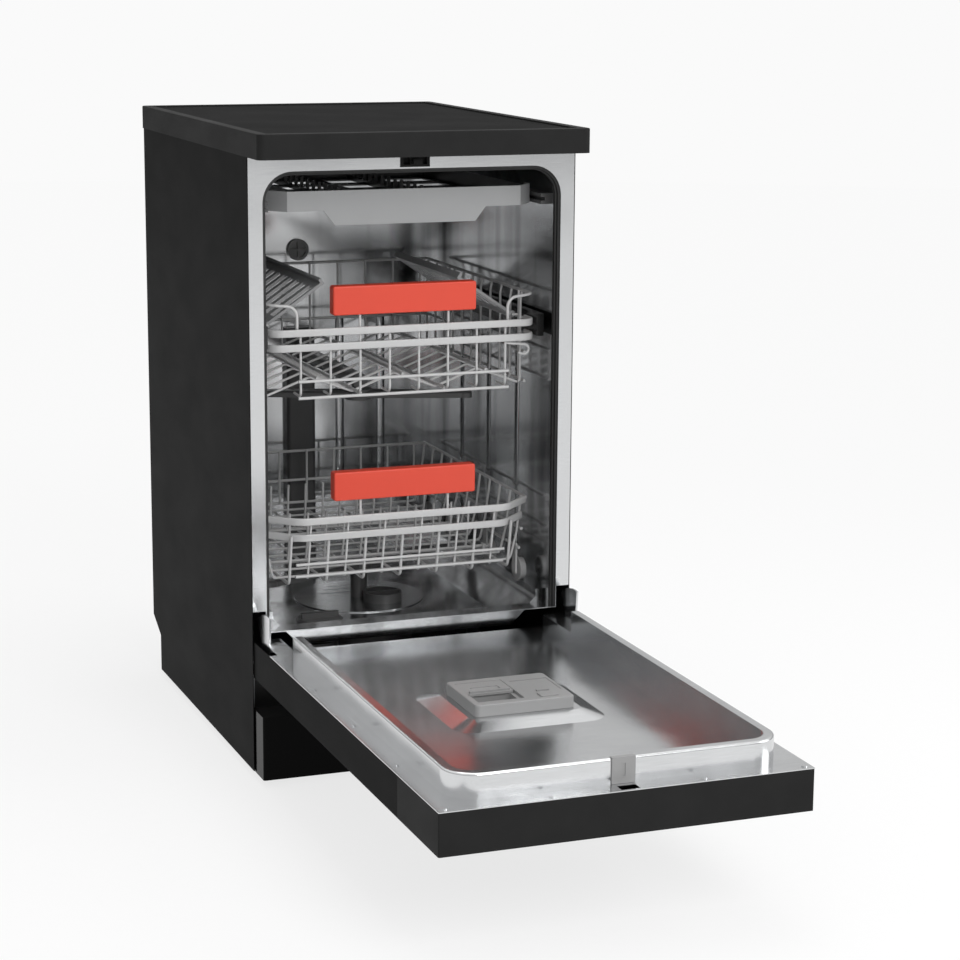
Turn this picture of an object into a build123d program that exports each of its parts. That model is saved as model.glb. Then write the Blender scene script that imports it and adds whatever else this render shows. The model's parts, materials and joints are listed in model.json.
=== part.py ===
from build123d import *

import math
import os

# A freestanding dishwasher, 45 cm wide, with its door open and its racks pushed in.
# Millimetres. X is to the right, Y is into the cabinet, Z is up from the floor.
# Sizes along Y are measured from the front face of the cabinet's steel frame.
# The finished pieces are shifted so that the origin is the middle of the ground plan.

os.makedirs("parts", exist_ok=True)

# Cabinet
WIDTH = 448.0
HEIGHT = 850.0
DEPTH = 556.0
SHEET = 1.0
FIT_GAP = 0.2
MOVING_GAP = 0.4
PANEL_BOTTOM_Z = 11.5
REAR_STEP_DEPTH = 44.0
REAR_STEP_LOW_Z = 65.0
REAR_STEP_HIGH_Z = 87.0
SIDE_FOLD = 12.0
BACK_PANEL_BOTTOM_Z = 93.0

# Worktop
TOP_THICK = 32.0
TOP_FRONT_OVERHANG = 54.0
TOP_BACK_OVERHANG = 14.0
TOP_CORNER = 9.0
TOP_RIM = 14.0
TOP_RECESS = 2.0
TOP_BOARD_THICK = 18.0
TOP_LEDGE = 10.0

# Mouth and tub, from the cabinet's outside inwards
MOUTH_SIDE = 20.0
MOUTH_DROP = 19.0
MOUTH_CORNER = 40.0
FRAME_BOTTOM_Z = 228.0
LIP_Z = 199.0
LIP_DEPTH = 30.0
LEDGE_Z = 218.0
LEDGE_WIDTH = 17.0
LEDGE_DROP = 10.0
FLOOR_Z = 172.0
SLOPE_WIDTH = 37.0
TUB_BEHIND = 26.0
RIB_RADIUS = 9.0
RIB_PROUD = 3.0
RIB_LOW_Z = 250.0
RIB_ABOVE_RACK = 40.0
RIB_PITCH = 65.0
RIB_FRONT_Y = 150.0
RIB_REAR_INSET = 160.0
GASKET_BASE = 3.0
GASKET_BULB = 5.5

# Latch catch above the mouth
LATCH_HALF = 20.0
LATCH_FRONT = 1.2
LATCH_BEHIND = 14.0
HOOK_HALF = 6.0
HOOK_REACH = 13.0

# Door, measured open
DOOR_TOP_GAP = 3.0
DOOR_FOOT_Z = 105.0
DOOR_FLANGE_Z = 189.0
DOOR_THICK = 50.0
DOOR_SIDE_GAP = 1.0
DOOR_LOWER_END = 2.0
FLANGE_GAP = 2.0
FASCIA_HEIGHT = 134.0
SEAM_GAP = 0.3
RIM_SIDE = 6.0
RIM_END = 25.0
RIM_REAR = 98.0
RIM_HEIGHT = 29.0
RIM_WIDTH = 12.0
RIM_CORNER = 38.0
PAN_DROP = 17.0
NOTCH_SIDE = 12.0
NOTCH_FRONT = 75.0
FASCIA_WALL = 2.5
SCREW_INSET = 9.0
SCREW_PITCH = 155.0
SCREW_FRONT_X = 90.0
SCREW_HOLE_RADIUS = 1.7
SCREW_SHANK_RADIUS = 1.5
SCREW_HEAD_RADIUS = 3.6
SCREW_HEAD_TALL = 1.4
STRIKER_HALF = 14.0
STRIKER_THICK = 1.8

# Hinge
PIN_RADIUS = 4.0
PIN_CLEARANCE = 0.05
ARM_GAP = 1.0
ARM_THICK = 2.5
BRACKET_INSET = 6.5
BRACKET_THICK = 2.5
BOSS_RADIUS = 7.4
LEAF_RADIUS = 84.0
ARM_LENGTH = 170.0

# Base
BASE_FLOOR_Z = 12.0
BASE_TOP_Z = 92.0
BASE_WALL = 3.3
BASE_FRONT = 10.0
PLINTH_FRONT = 40.6
PLINTH_BOTTOM_Z = 10.5
PLINTH_TOP_Z = 96.0
PLINTH_WALL = 2.0
FOOT_RADIUS = 17.0
FOOT_PAD = 6.0
FOOT_NUT_RADIUS = 8.0
FOOT_STUD_RADIUS = 4.0
FOOT_BOSS_RADIUS = 11.0
FOOT_BOSS_TALL = 20.0
FOOT_SIDE = 36.0
FOOT_FRONT_Y = 64.0
FOOT_REAR_INSET = 40.0

# Water parts
SUMP_Y = 240.0
SUMP_RADIUS = 76.0
SUMP_HOLE_RADIUS = 70.0
SUMP_DEPTH = 72.0
SUMP_WALL = 4.0
HUB_RADIUS = 12.0
ARM_SPIGOT_RADIUS = 8.0
ARM_SPIGOT_TALL = 10.0
ARM_BORE_RADIUS = 5.0
ROTOR_CLEARANCE = 0.06
LOWER_ARM_Z = 212.4
LOWER_ARM_REACH = 172.0
UPPER_ARM_REACH = 160.0
SPRAY_HUB_RADIUS = 19.0
SPRAY_HUB_HEIGHT = 15.0
SPRAY_BLADE_THICK = 9.0
STRAINER_BORDER = 22.0
STRAINER_THICK = 1.2
FILTER_RADIUS = 27.0
FILTER_WALL = 2.5
FILTER_OFFSET = 41.0
FILTER_ABOVE = 14.0
FILTER_BELOW = 46.0
SALT_X = -95.0
SALT_Y = 120.0
SALT_CAP_RADIUS = 32.0
SALT_CAP_TALL = 8.0
SALT_NECK_RADIUS = 25.0
SALT_NECK_WALL = 3.0
SOFTENER_SIDE = 19.0
SOFTENER_TOP_Z = 150.0
PUMP_SIDE = 84.0
PUMP_BEHIND_SUMP = 90.0
VOLUTE_RADIUS = 46.0
MOTOR_RADIUS = 36.0
MOTOR_LENGTH = 85.0
FEED_RADIUS = 11.0
FEED_WALL = 2.5
DUCT_HALF = 22.0
DUCT_DEPTH = 25.0
DUCT_ABOVE_RACK = 20.0
DUCT_PORT_RADIUS = 16.0
VENT_ABOVE_RACK = 136.0
VENT_RADIUS = 16.0
VENT_WALL = 4.0
INLET_THREAD_RADIUS = 13.2
INLET_THREAD_LENGTH = 14.0
INLET_NECK_RADIUS = 11.0
INLET_BORE_RADIUS = 8.0
INLET_SIDE = 74.0
INLET_Z = 44.0
DRAIN_STEP = 55.0
DRAIN_RADIUS = 10.0
DRAIN_LENGTH = 24.0
DRAIN_WALL = 2.5
CORD_GLAND_RADIUS = 9.0
CORD_HOLE_RADIUS = 4.2

# Racks, measured pushed in
RACK_FRONT = 36.0
WIRE = 4.0
WELD = 0.5
BAR_TALL = 10.0
BAR_THICK = 4.0
LOWER_BEHIND = 32.0
LOWER_RISE = 28.0
LOWER_TALL = 93.0
LOWER_BAR_STEP = 23.0
LOWER_SIDE = 14.0
LOWER_LEAN = 12.0
LOWER_CORNER = 42.0
LOWER_SETBACK = 20.0
LOWER_GRIP_RISE = 20.5
UPPER_BEHIND = 54.0
UPPER_BASE_DROP = 299.0
UPPER_SIDE_TALL = 125.0
UPPER_BAR_RISE = 91.0
UPPER_BAR_STEP = 19.5
UPPER_SIDE = 17.0
UPPER_CORNER = 40.0
UPPER_MIDDLE_RISE = 40.0
UPPER_GRIP_RISE = 107.0
UPPER_TRAVEL = 298.0
UPRIGHTS = 11
FLOOR_LINES = 7
FLOOR_EDGE = 14.0
FLOOR_LIFT = 22.0
POST_SHARE = 0.62
POST_TALL = 22.0
HANDLE_HALF = 99.5
HANDLE_TALL = 38.5
HANDLE_THICK = 16.0
HANDLE_WALL = 3.0

# Lower rack wheels
WHEEL_RADIUS = 15.0
WHEEL_WIDTH = 8.0
WHEEL_FLANGE_RADIUS = 18.0
WHEEL_FLANGE_WIDTH = 2.0
WHEEL_RECESS = 3.0
WHEEL_GAP = 0.3
AXLE_RADIUS = 3.0
AXLE_CLEARANCE = 0.05
AXLE_END = 2.0
WHEEL_INSIDE_LEDGE = 5.0
FRONT_WHEELS = (56.0, 170.0)
REAR_WHEELS = (135.0, 22.0)
LUG_WIDTH = 14.0
LUG_THICK = 3.0
LUG_RISE = 26.0
BACK_GRID_LIFT = 10.0

# Fold-down tines and cup shelves
TINE_SETBACKS = (118.0, 300.0)
TINE_TALL = 70.0
TINE_PITCH = 26.0
TINE_COUNT = 11
TINE_LEAN = 10.0
TINE_WIRE = 3.4
CLIP_HALF = 5.0
CLIP_ABOVE = 3.6
SHELF_INSIDE_RACK = 13.0
SHELF_RISE = 90.0
SHELF_ROD_RADIUS = 2.0
SHELF_BARREL_RADIUS = 4.6
SHELF_ROD_CLEARANCE = 0.08
SHELF_WIDTH = 96.0
SHELF_THICK = 4.0
SHELF_LIP = 7.0
SHELF_TILT = 34.0
SHELF_FRONT = 90.0
SHELF_LENGTH = 270.0
SHELF_SLOTS = 9

# Rails
RAIL_RISE = 82.0
RAIL_TALL = 30.0
RAIL_FRONT = 42.0
RAIL_BEHIND = 14.0
RAIL_DEPTH = 9.0
RAIL_WEB = 1.5
RAIL_LIP = 6.0
RAIL_CAP_THICK = 3.6
STANDOFF_RADIUS = 9.0
STANDOFF_INSET = 60.0
SLIDE_SETBACK = 8.0
SLIDE_ENGAGED = 110.0
TRAY_RAIL_DROP = 18.0
TRAY_RAIL_TALL = 14.0
TRAY_RAIL_WIDTH = 16.0
TRAY_RAIL_SLOT = 6.0
TRAY_RAIL_FRONT = 31.0
TRAY_RAIL_ENGAGED = 293.0
TRAY_FLANGE = 4.0

# Cutlery tray
TRAY_TRAVEL = 126.0
TRAY_BEHIND = 64.0
TRAY_TOP_DROP = 29.0
TRAY_FASCIA_TALL = 26.0
TRAY_DIP_DROP = 19.0
TRAY_DIP_HALF = 97.0
TRAY_DIP_SLOPE = 15.0
TRAY_SIDE = 18.0
TRAY_SWEEP = 25.0
TRAY_RETURN = 30.0
TRAY_WALL = 3.0
TRAY_SKIN = 2.0
TRAY_BODY_INSET = 8.0
COMB_TEETH = 14
COMB_HALF = 2.0
COMB_TALL = 20.0

# Detergent dispenser, measured with the door open
DISP_X = 7.0
DISP_Y = -331.0
DISP_WIDTH = 128.0
DISP_LENGTH = 106.0
DISP_TOP_Z = 195.0
DISP_BOTTOM_Z = 148.0
DISP_SHOULDER = 5.0
PLATEAU_HEIGHT = 8.0
PLATEAU_MARGIN = 34.0
CUP_DEPTH = 24.0
LID_TRAVEL = 34.0
LID_THICK = 3.0
LID_HALF = 30.0
LID_LENGTH = 46.0
LID_BED_GAP = 0.8
RINSE_HALF_X = 24.0
RINSE_HALF_Y = 26.0
RINSE_PLUG_RADIUS = 8.2
RINSE_PIN_RADIUS = 1.0
RINSE_PIN_LENGTH = 2.5

# Controls, on the front face of the closed door
BUTTON_XS = (70.0, 105.0, 140.0)
BUTTON_RADIUS = 8.0
BUTTON_TRAVEL = 1.2
BUTTON_COLLAR = 2.5
BUTTON_GAP = 0.3
BUTTON_END = 70.0
DISPLAY_X = -20.0
DISPLAY_WIDTH = 96.0
DISPLAY_HEIGHT = 30.0
DISPLAY_THICK = 1.5
GRIP_X = -150.0
GRIP_WIDTH = 84.0
GRIP_HEIGHT = 46.0
GRIP_DEPTH = 20.0
GRIP_CORNER = 12.0

# Worked-out places: the cabinet and the tub
HALF = WIDTH / 2
INNER_HALF = HALF - SHEET
CABINET_TOP_Z = HEIGHT - TOP_THICK
MOUTH_HALF = HALF - MOUTH_SIDE
MOUTH_TOP = CABINET_TOP_Z - MOUTH_DROP
LEDGE_HALF = MOUTH_HALF - LEDGE_WIDTH
FLOOR_HALF = LEDGE_HALF - SLOPE_WIDTH
TUB_BACK = DEPTH - TUB_BEHIND
LATCH_LOW_Z = MOUTH_TOP + SHEET + LATCH_FRONT
LATCH_HIGH_Z = CABINET_TOP_Z - LATCH_FRONT
BASE_BACK = DEPTH - REAR_STEP_DEPTH - 2.0
FOOT_X = HALF - FOOT_SIDE
INLET_X = HALF - INLET_SIDE
DRAIN_X = INLET_X - DRAIN_STEP
CORD_GLAND_X = -INLET_X
PUMP_X = HALF - PUMP_SIDE
PUMP_Y = SUMP_Y + PUMP_BEHIND_SUMP
PUMP_Z = BASE_FLOOR_Z + 3.0 + VOLUTE_RADIUS

# Worked-out places: the door
DOOR_TOP_CLOSED = CABINET_TOP_Z - DOOR_TOP_GAP
DOOR_REACH = DOOR_TOP_CLOSED - DOOR_FOOT_Z
SHIFT_Y = (DOOR_REACH - DEPTH - TOP_BACK_OVERHANG) / 2
DOOR_HALF = INNER_HALF - DOOR_SIDE_GAP
DOOR_OUTER_Z = DOOR_FLANGE_Z - DOOR_THICK
DOOR_SEAM = DOOR_REACH - FASCIA_HEIGHT
PIVOT_Z = (DOOR_FOOT_Z + DOOR_FLANGE_Z + FLANGE_GAP) / 2
PIVOT_Y = DOOR_FOOT_Z - PIVOT_Z
BRACKET_X = INNER_HALF - BRACKET_INSET
ARM_X = BRACKET_X - ARM_GAP - ARM_THICK
RIM_HALF = MOUTH_HALF - RIM_SIDE
RIM_FRONT = DOOR_REACH - RIM_END
RIM_TOP_Z = DOOR_FLANGE_Z + RIM_HEIGHT
PAN_Z = DOOR_FLANGE_Z - PAN_DROP
NOTCH_HALF = HALF - NOTCH_SIDE
BUTTON_Y = BUTTON_END - DOOR_REACH
BUTTON_PROUD = BUTTON_TRAVEL + BUTTON_GAP
LID_X = DISP_X - DISP_WIDTH / 2 + LID_HALF + 7.0
CUP_FRONT = DISP_Y - DISP_LENGTH / 2 + 12.0
LID_FRONT_OPEN = CUP_FRONT + LID_TRAVEL + 1.0
LID_LOW_Z = DISP_TOP_Z - LID_THICK - LID_BED_GAP / 2
RINSE_X = DISP_X + DISP_WIDTH / 2 - RINSE_HALF_X - 5.0
RINSE_Y = DISP_Y + 4.0
RINSE_HINGE_Y = RINSE_Y + RINSE_HALF_Y - LID_THICK / 2
RINSE_HINGE_Z = LID_LOW_Z + LID_THICK / 2

# Worked-out places: the lower rack
WHEEL_Z = LEDGE_Z + WHEEL_GAP + WHEEL_RADIUS
WHEEL_INNER_X = LEDGE_HALF - WHEEL_INSIDE_LEDGE
LOWER_BACK = TUB_BACK - LOWER_BEHIND
LOWER_BASE_Z = LEDGE_Z + LOWER_RISE
LOWER_TOP_Z = LOWER_BASE_Z + LOWER_TALL
LOWER_TOP_HALF = MOUTH_HALF - LOWER_SIDE
LOWER_BASE_HALF = LOWER_TOP_HALF - LOWER_LEAN
LOWER_HANDLE_Z = LOWER_TOP_Z + LOWER_GRIP_RISE
WHEEL_SETBACKS = (
    FRONT_WHEELS[0],
    FRONT_WHEELS[1],
    LOWER_BACK - RACK_FRONT - REAR_WHEELS[0],
    LOWER_BACK - RACK_FRONT - REAR_WHEELS[1],
)

# Worked-out places: the upper rack and the cutlery tray
UPPER_BACK = TUB_BACK - UPPER_BEHIND
UPPER_BASE_Z = MOUTH_TOP - UPPER_BASE_DROP
UPPER_SIDE_TOP_Z = UPPER_BASE_Z + UPPER_SIDE_TALL
UPPER_BAR_Z = UPPER_BASE_Z + UPPER_BAR_RISE
UPPER_HALF = MOUTH_HALF - UPPER_SIDE
UPPER_HANDLE_Z = UPPER_BASE_Z + UPPER_GRIP_RISE
SHELF_PIVOT_X = UPPER_HALF - SHELF_INSIDE_RACK
SHELF_PIVOT_Z = UPPER_BASE_Z + SHELF_RISE
RIB_HIGH_Z = UPPER_BASE_Z + RIB_ABOVE_RACK
DUCT_TOP_Z = UPPER_BASE_Z + DUCT_ABOVE_RACK
VENT_Z = UPPER_BASE_Z + VENT_ABOVE_RACK
FEED_Z = UPPER_BASE_Z - WIRE - FIT_GAP - FEED_RADIUS
UPPER_ARM_Z = FEED_Z - FEED_RADIUS - MOVING_GAP - SPRAY_HUB_HEIGHT
RAIL_Z = UPPER_BASE_Z + RAIL_RISE
RAIL_OUTER_X = MOUTH_HALF - GASKET_BULB - MOVING_GAP
RAIL_LENGTH = UPPER_BACK - RAIL_BEHIND - RAIL_FRONT
SLIDE_LENGTH = UPPER_TRAVEL + SLIDE_ENGAGED - SLIDE_SETBACK
TRAY_BACK = TUB_BACK - TRAY_BEHIND
TRAY_TOP_Z = MOUTH_TOP - TRAY_TOP_DROP
TRAY_SIDE_Z = TRAY_TOP_Z - TRAY_FASCIA_TALL
TRAY_DIP_Z = TRAY_SIDE_Z - TRAY_DIP_DROP
TRAY_HALF = MOUTH_HALF - TRAY_SIDE
TRAY_STRAIGHT_HALF = TRAY_HALF - TRAY_SWEEP
TRAY_BODY_HALF = TRAY_HALF - TRAY_BODY_INSET
TRAY_RAIL_Z = TRAY_TOP_Z - TRAY_RAIL_DROP
TRAY_RAIL_INNER = MOUTH_HALF - TRAY_RAIL_WIDTH
TRAY_RAIL_LENGTH = TRAY_TRAVEL + TRAY_RAIL_ENGAGED


def steps(count, low, high):
    """Evenly spaced values from low to high."""
    return [low + (high - low) * k / (count - 1) for k in range(count)]


def block(x, y, z):
    """A box between the given limits along each axis."""
    centre = Pos(sum(x) / 2, sum(y) / 2, sum(z) / 2)
    return centre * Box(x[1] - x[0], y[1] - y[0], z[1] - z[0])


def rod(start, end, radius):
    """A round bar from one point to another."""
    way = Vector(*end) - Vector(*start)
    return Plane(origin=start, z_dir=way) * Cylinder(
        radius, way.length, align=(Align.CENTER, Align.CENTER, Align.MIN)
    )


def wire(start, end, size=WIRE):
    """A straight grid wire between two points, its ends half a wire past them."""
    way = Vector(*end) - Vector(*start)
    side = Vector(0, 1, 0) if abs(way.Y) < abs(way.length) * 0.7 else Vector(1, 0, 0)
    frame = Plane(origin=(Vector(*start) + Vector(*end)) * 0.5, x_dir=side.cross(way), z_dir=way)
    return frame * Box(size, size, way.length + size)


def weld(solids):
    """All the given solids fused into one."""
    return solids[0].fuse(*solids[1:]).clean()


def polygon(*points):
    """A flat face through the given points."""
    return make_face(Polyline(*points, close=True))


def along_x(face, low, high):
    """A face drawn in Y and Z, extruded from one X to another."""
    return Pos(low, 0, 0) * extrude(Plane.YZ * face, amount=high - low)


def along_y(face, front, back):
    """A face drawn in X and Z, extruded from one Y to another."""
    return Pos(0, back, 0) * extrude(Plane.XZ * face, amount=back - front)


def along_z(face, low, high):
    """A face drawn in X and Y, extruded from one Z to another."""
    return Pos(0, 0, low) * extrude(face, amount=high - low)


def mirrored(solid):
    """The given solid and its mirror image on the other side of the machine."""
    return [solid, mirror(solid, about=Plane.YZ)]


def rectangle(x, y, corner=0.0, corners=None):
    """A rectangle between limits, with all or the chosen corners rounded."""
    face = Pos(sum(x) / 2, sum(y) / 2) * Rectangle(x[1] - x[0], y[1] - y[0])
    if corner <= 0:
        return face
    vertices = face.vertices()
    if corners == "low":
        vertices = vertices.group_by(Axis.Y)[0]
    if corners == "high":
        vertices = vertices.group_by(Axis.Y)[-1]
    return fillet(vertices, corner)


def mouth(bottom_z, grow=0.0):
    """The outline of the mouth in X and Z, grown outwards and cut off at a height."""
    half = MOUTH_HALF + grow
    return rectangle((-half, half), (bottom_z, MOUTH_TOP + grow), MOUTH_CORNER + grow, "high")


def tub_section(grow=0.0):
    """The tub across the racks: the mouth's outline above, ledges for the wheels, a sloping floor."""
    shelf = LEDGE_HALF + grow
    flat = FLOOR_HALF + grow
    well = polygon(
        (-shelf, LEDGE_Z + SHEET),
        (shelf, LEDGE_Z + SHEET),
        (shelf, LEDGE_Z - LEDGE_DROP),
        (flat, FLOOR_Z - grow),
        (-flat, FLOOR_Z - grow),
        (-shelf, LEDGE_Z - LEDGE_DROP),
    )
    return mouth(LEDGE_Z - grow, grow) + well


def worktop_outline(inset):
    """The worktop's plan, drawn in from its edge."""
    return rectangle(
        (-HALF + inset, HALF - inset),
        (-TOP_FRONT_OVERHANG + inset, DEPTH + TOP_BACK_OVERHANG - inset),
        max(TOP_CORNER - inset, 2.0),
    )


def make_worktop_frame():
    """The moulded skirt round the worktop, with a ledge that carries the board."""
    skirt = along_z(worktop_outline(0), CABINET_TOP_Z, HEIGHT)
    skirt = fillet(skirt.edges().group_by(Axis.Z)[-1], 1.5)
    board = along_z(worktop_outline(TOP_RIM), HEIGHT - TOP_RECESS - TOP_BOARD_THICK, HEIGHT + 1)
    hole = along_z(worktop_outline(TOP_RIM + TOP_LEDGE), CABINET_TOP_Z - 1, HEIGHT)
    return [skirt - board - hole]


def make_worktop_panel():
    """The board set into the skirt, a little below its rim."""
    top = HEIGHT - TOP_RECESS
    board = along_z(worktop_outline(TOP_RIM + FIT_GAP), top - TOP_BOARD_THICK, top)
    return [chamfer(board.edges().group_by(Axis.Z)[-1], 0.8)]


def make_side_panel():
    """The right side sheet, stepped in at its lower rear corner and folded in at both ends."""
    back = DEPTH
    face = polygon(
        (0, PANEL_BOTTOM_Z),
        (back - REAR_STEP_DEPTH, PANEL_BOTTOM_Z),
        (back - REAR_STEP_DEPTH, REAR_STEP_LOW_Z),
        (back, REAR_STEP_HIGH_Z),
        (back, CABINET_TOP_Z),
        (0, CABINET_TOP_Z),
    )
    sheet = along_x(face, INNER_HALF, HALF)
    front_fold = block(
        (INNER_HALF - SIDE_FOLD, INNER_HALF),
        (SHEET + FIT_GAP, 2 * SHEET + FIT_GAP),
        (FRAME_BOTTOM_Z + SHEET, CABINET_TOP_Z - SHEET),
    )
    rear_fold = block(
        (INNER_HALF - SIDE_FOLD, INNER_HALF),
        (back - SHEET, back),
        (BACK_PANEL_BOTTOM_Z, CABINET_TOP_Z),
    )
    return weld([sheet, front_fold, rear_fold])


def make_back_panel():
    """The rear sheet, pressed with two stiffening panels, behind the tub."""
    back = DEPTH - SHEET - FIT_GAP
    half = INNER_HALF - FIT_GAP
    height = (BACK_PANEL_BOTTOM_Z, CABINET_TOP_Z - FIT_GAP)
    sheet = block((-half, half), (back - SHEET, back), height)
    middle = (BACK_PANEL_BOTTOM_Z + CABINET_TOP_Z) / 2
    press = 3.0
    border = 36.0
    for low, high in (
        (BACK_PANEL_BOTTOM_Z + border, middle - border / 2),
        (middle + border / 2, CABINET_TOP_Z - border),
    ):
        outline = rectangle((-half + border, half - border), (low, high), 14)
        inner = rectangle(
            (-half + border + SHEET, half - border - SHEET), (low + SHEET, high - SHEET), 13
        )
        sheet += along_y(outline, back - SHEET - press, back)
        sheet -= along_y(inner, back - press, back + 1)
    return [sheet]


def make_base_tray():
    """The moulded base: an open drip tray with ribs, foot bosses and a moulded drain spigot."""
    half = INNER_HALF - FIT_GAP * 2
    outline = rectangle((-half, half), (BASE_FRONT, BASE_BACK), 4)
    cavity = rectangle(
        (-half + BASE_WALL, half - BASE_WALL), (BASE_FRONT + BASE_WALL, BASE_BACK - BASE_WALL), 2
    )
    tray = along_z(outline, BASE_FLOOR_Z, BASE_TOP_Z)
    tray -= along_z(cavity, BASE_FLOOR_Z + 3, BASE_TOP_Z + 1)
    ledge_back = DEPTH - 3 * SHEET - FIT_GAP
    shelf = block((-half, half), (BASE_BACK - 1, ledge_back), (BASE_TOP_Z - 3, BASE_TOP_Z))
    bosses = [
        Pos(x, y, 0) * along_z(Circle(FOOT_BOSS_RADIUS), BASE_FLOOR_Z, BASE_FLOOR_Z + FOOT_BOSS_TALL)
        for x, y in foot_places()
    ]
    tray = weld([tray, shelf, *bosses])
    for x, y in foot_places():
        tray -= Pos(x, y, 0) * along_z(
            Circle(FOOT_STUD_RADIUS + FIT_GAP), BASE_FLOOR_Z - 1, BASE_FLOOR_Z + FOOT_BOSS_TALL - 2
        )
    spigot = rear_rod(DRAIN_X, -1, DRAIN_LENGTH, DRAIN_RADIUS)
    gland = rear_rod(CORD_GLAND_X, -1, CORD_GLAND_RADIUS, CORD_GLAND_RADIUS)
    through = -BASE_WALL - 2
    bore = rear_rod(DRAIN_X, through, DRAIN_LENGTH + 1, DRAIN_RADIUS - DRAIN_WALL)
    window = rear_rod(INLET_X, through, 1, INLET_THREAD_RADIUS + FIT_GAP)
    cord_hole = rear_rod(CORD_GLAND_X, through, CORD_GLAND_RADIUS + 1, CORD_HOLE_RADIUS)
    return [tray + spigot + gland - bore - window - cord_hole]


def rear_rod(x, start, end, radius):
    """A round bar through the base's rear wall, its ends measured back from the wall's face."""
    return rod((x, BASE_BACK + start, INLET_Z), (x, BASE_BACK + end, INLET_Z), radius)


def foot_places():
    """Where the four feet stand, in plan."""
    return [(x, y) for x in (-FOOT_X, FOOT_X) for y in (FOOT_FRONT_Y, BASE_BACK - FOOT_REAR_INSET)]


def make_levelling_feet():
    """Four screw feet, each a round pad under a hexagon and a stud in the base."""
    foot = along_z(Circle(FOOT_RADIUS), 0, FOOT_PAD)
    foot = chamfer(foot.edges().group_by(Axis.Z)[0], 1.2)
    foot += along_z(RegularPolygon(FOOT_NUT_RADIUS, 6), FOOT_PAD, BASE_FLOOR_Z - FIT_GAP)
    foot += along_z(Circle(FOOT_STUD_RADIUS), FOOT_PAD, BASE_FLOOR_Z + FOOT_BOSS_TALL - 4)
    return [Pos(x, y, 0) * foot for x, y in foot_places()]


def make_kickplate():
    """The plinth cover: a bent front with a top ledge and two side returns."""
    half = DOOR_HALF
    outline = rectangle((-half, half), (-PLINTH_FRONT, BASE_FRONT - FIT_GAP), 3, "low")
    shell = along_z(outline, PLINTH_BOTTOM_Z, PLINTH_TOP_Z)
    inside = block(
        (-half + PLINTH_WALL, half - PLINTH_WALL),
        (-PLINTH_FRONT + PLINTH_WALL, BASE_FRONT + 1),
        (PLINTH_BOTTOM_Z - 1, PLINTH_TOP_Z - PLINTH_WALL),
    )
    return [shell - inside]


def make_front_frame():
    """The polished steel face round the mouth, open at the bottom for the door's hinges."""
    half = INNER_HALF - FIT_GAP
    plate = block((-half, half), (0, SHEET), (FRAME_BOTTOM_Z, CABINET_TOP_Z - FIT_GAP))
    opening = along_y(mouth(FRAME_BOTTOM_Z - 1), -1, SHEET + 1)
    window = block(
        (-LATCH_HALF - FIT_GAP, LATCH_HALF + FIT_GAP),
        (-1, SHEET + 1),
        (LATCH_LOW_Z - FIT_GAP, LATCH_HIGH_Z + FIT_GAP),
    )
    return [plate - opening - window]


def make_latch_catch():
    """The black catch above the mouth, with a hook that enters the door's slot."""
    z = (LATCH_LOW_Z, LATCH_HIGH_Z)
    body = block((-LATCH_HALF, LATCH_HALF), (-LATCH_FRONT, LATCH_BEHIND), z)
    for side in (-1, 1):
        middle = side * LATCH_HALF * 0.58
        body -= block((middle - 4.5, middle + 4.5), (-2, 5), (z[0] + 3, z[1] - 3))
    low = z[0] + 4
    root = -LATCH_FRONT + 0.5
    tip = -HOOK_REACH
    barb = polygon(
        (root, low), (tip, low), (tip, low + 6.5), (tip + 4, low + 6.5), (tip + 6, low + 4), (root, low + 4)
    )
    hook = along_x(barb, -HOOK_HALF, HOOK_HALF)
    return [body + hook]


def rib_face():
    """The plan of one pressed stiffening rib on a tub wall."""
    return Pos(0, RIB_RADIUS - RIB_PROUD) * Circle(RIB_RADIUS)


def make_tub():
    """The steel tub in three welded sheets: a ribbed shell, a floor pan with ledges, and a front lip."""
    outer = along_y(tub_section(SHEET), LIP_DEPTH - SHEET, TUB_BACK + SHEET)
    outer += along_y(mouth(LIP_Z - SHEET, SHEET), SHEET, LIP_DEPTH + SHEET)
    inner = along_y(tub_section(), LIP_DEPTH, TUB_BACK)
    inner += along_y(mouth(LIP_Z), 0, LIP_DEPTH)
    ribs = []
    for place in (-2 * RIB_PITCH, -RIB_PITCH, RIB_PITCH, 2 * RIB_PITCH):
        ribs.append(Pos(place, TUB_BACK, 0) * along_z(rib_face(), RIB_LOW_Z, RIB_HIGH_Z))
    for place in steps(3, RIB_FRONT_Y, TUB_BACK - RIB_REAR_INSET):
        for side in (-1, 1):
            ribs.append(
                Pos(side * MOUTH_HALF, place, 0)
                * along_z(Rot(0, 0, -side * 90) * rib_face(), RIB_LOW_Z, RIB_HIGH_Z)
            )
    ribs = [rib & outer for rib in ribs]
    tub = (outer - inner).fuse(*ribs)
    tub -= Pos(0, SUMP_Y, 0) * along_z(Circle(SUMP_HOLE_RADIUS), FLOOR_Z - 5, FLOOR_Z + 5)
    tub -= Pos(SALT_X, SALT_Y, 0) * along_z(
        Circle(SALT_NECK_RADIUS + FIT_GAP), FLOOR_Z - 5, FLOOR_Z + 5
    )
    above = block((-HALF, HALF), (-1, DEPTH), (LEDGE_Z, HEIGHT))
    ahead = block((-HALF, HALF), (-1, LIP_DEPTH), (0, LEDGE_Z))
    return [tub & above, tub - above - ahead, tub & ahead]


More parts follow.
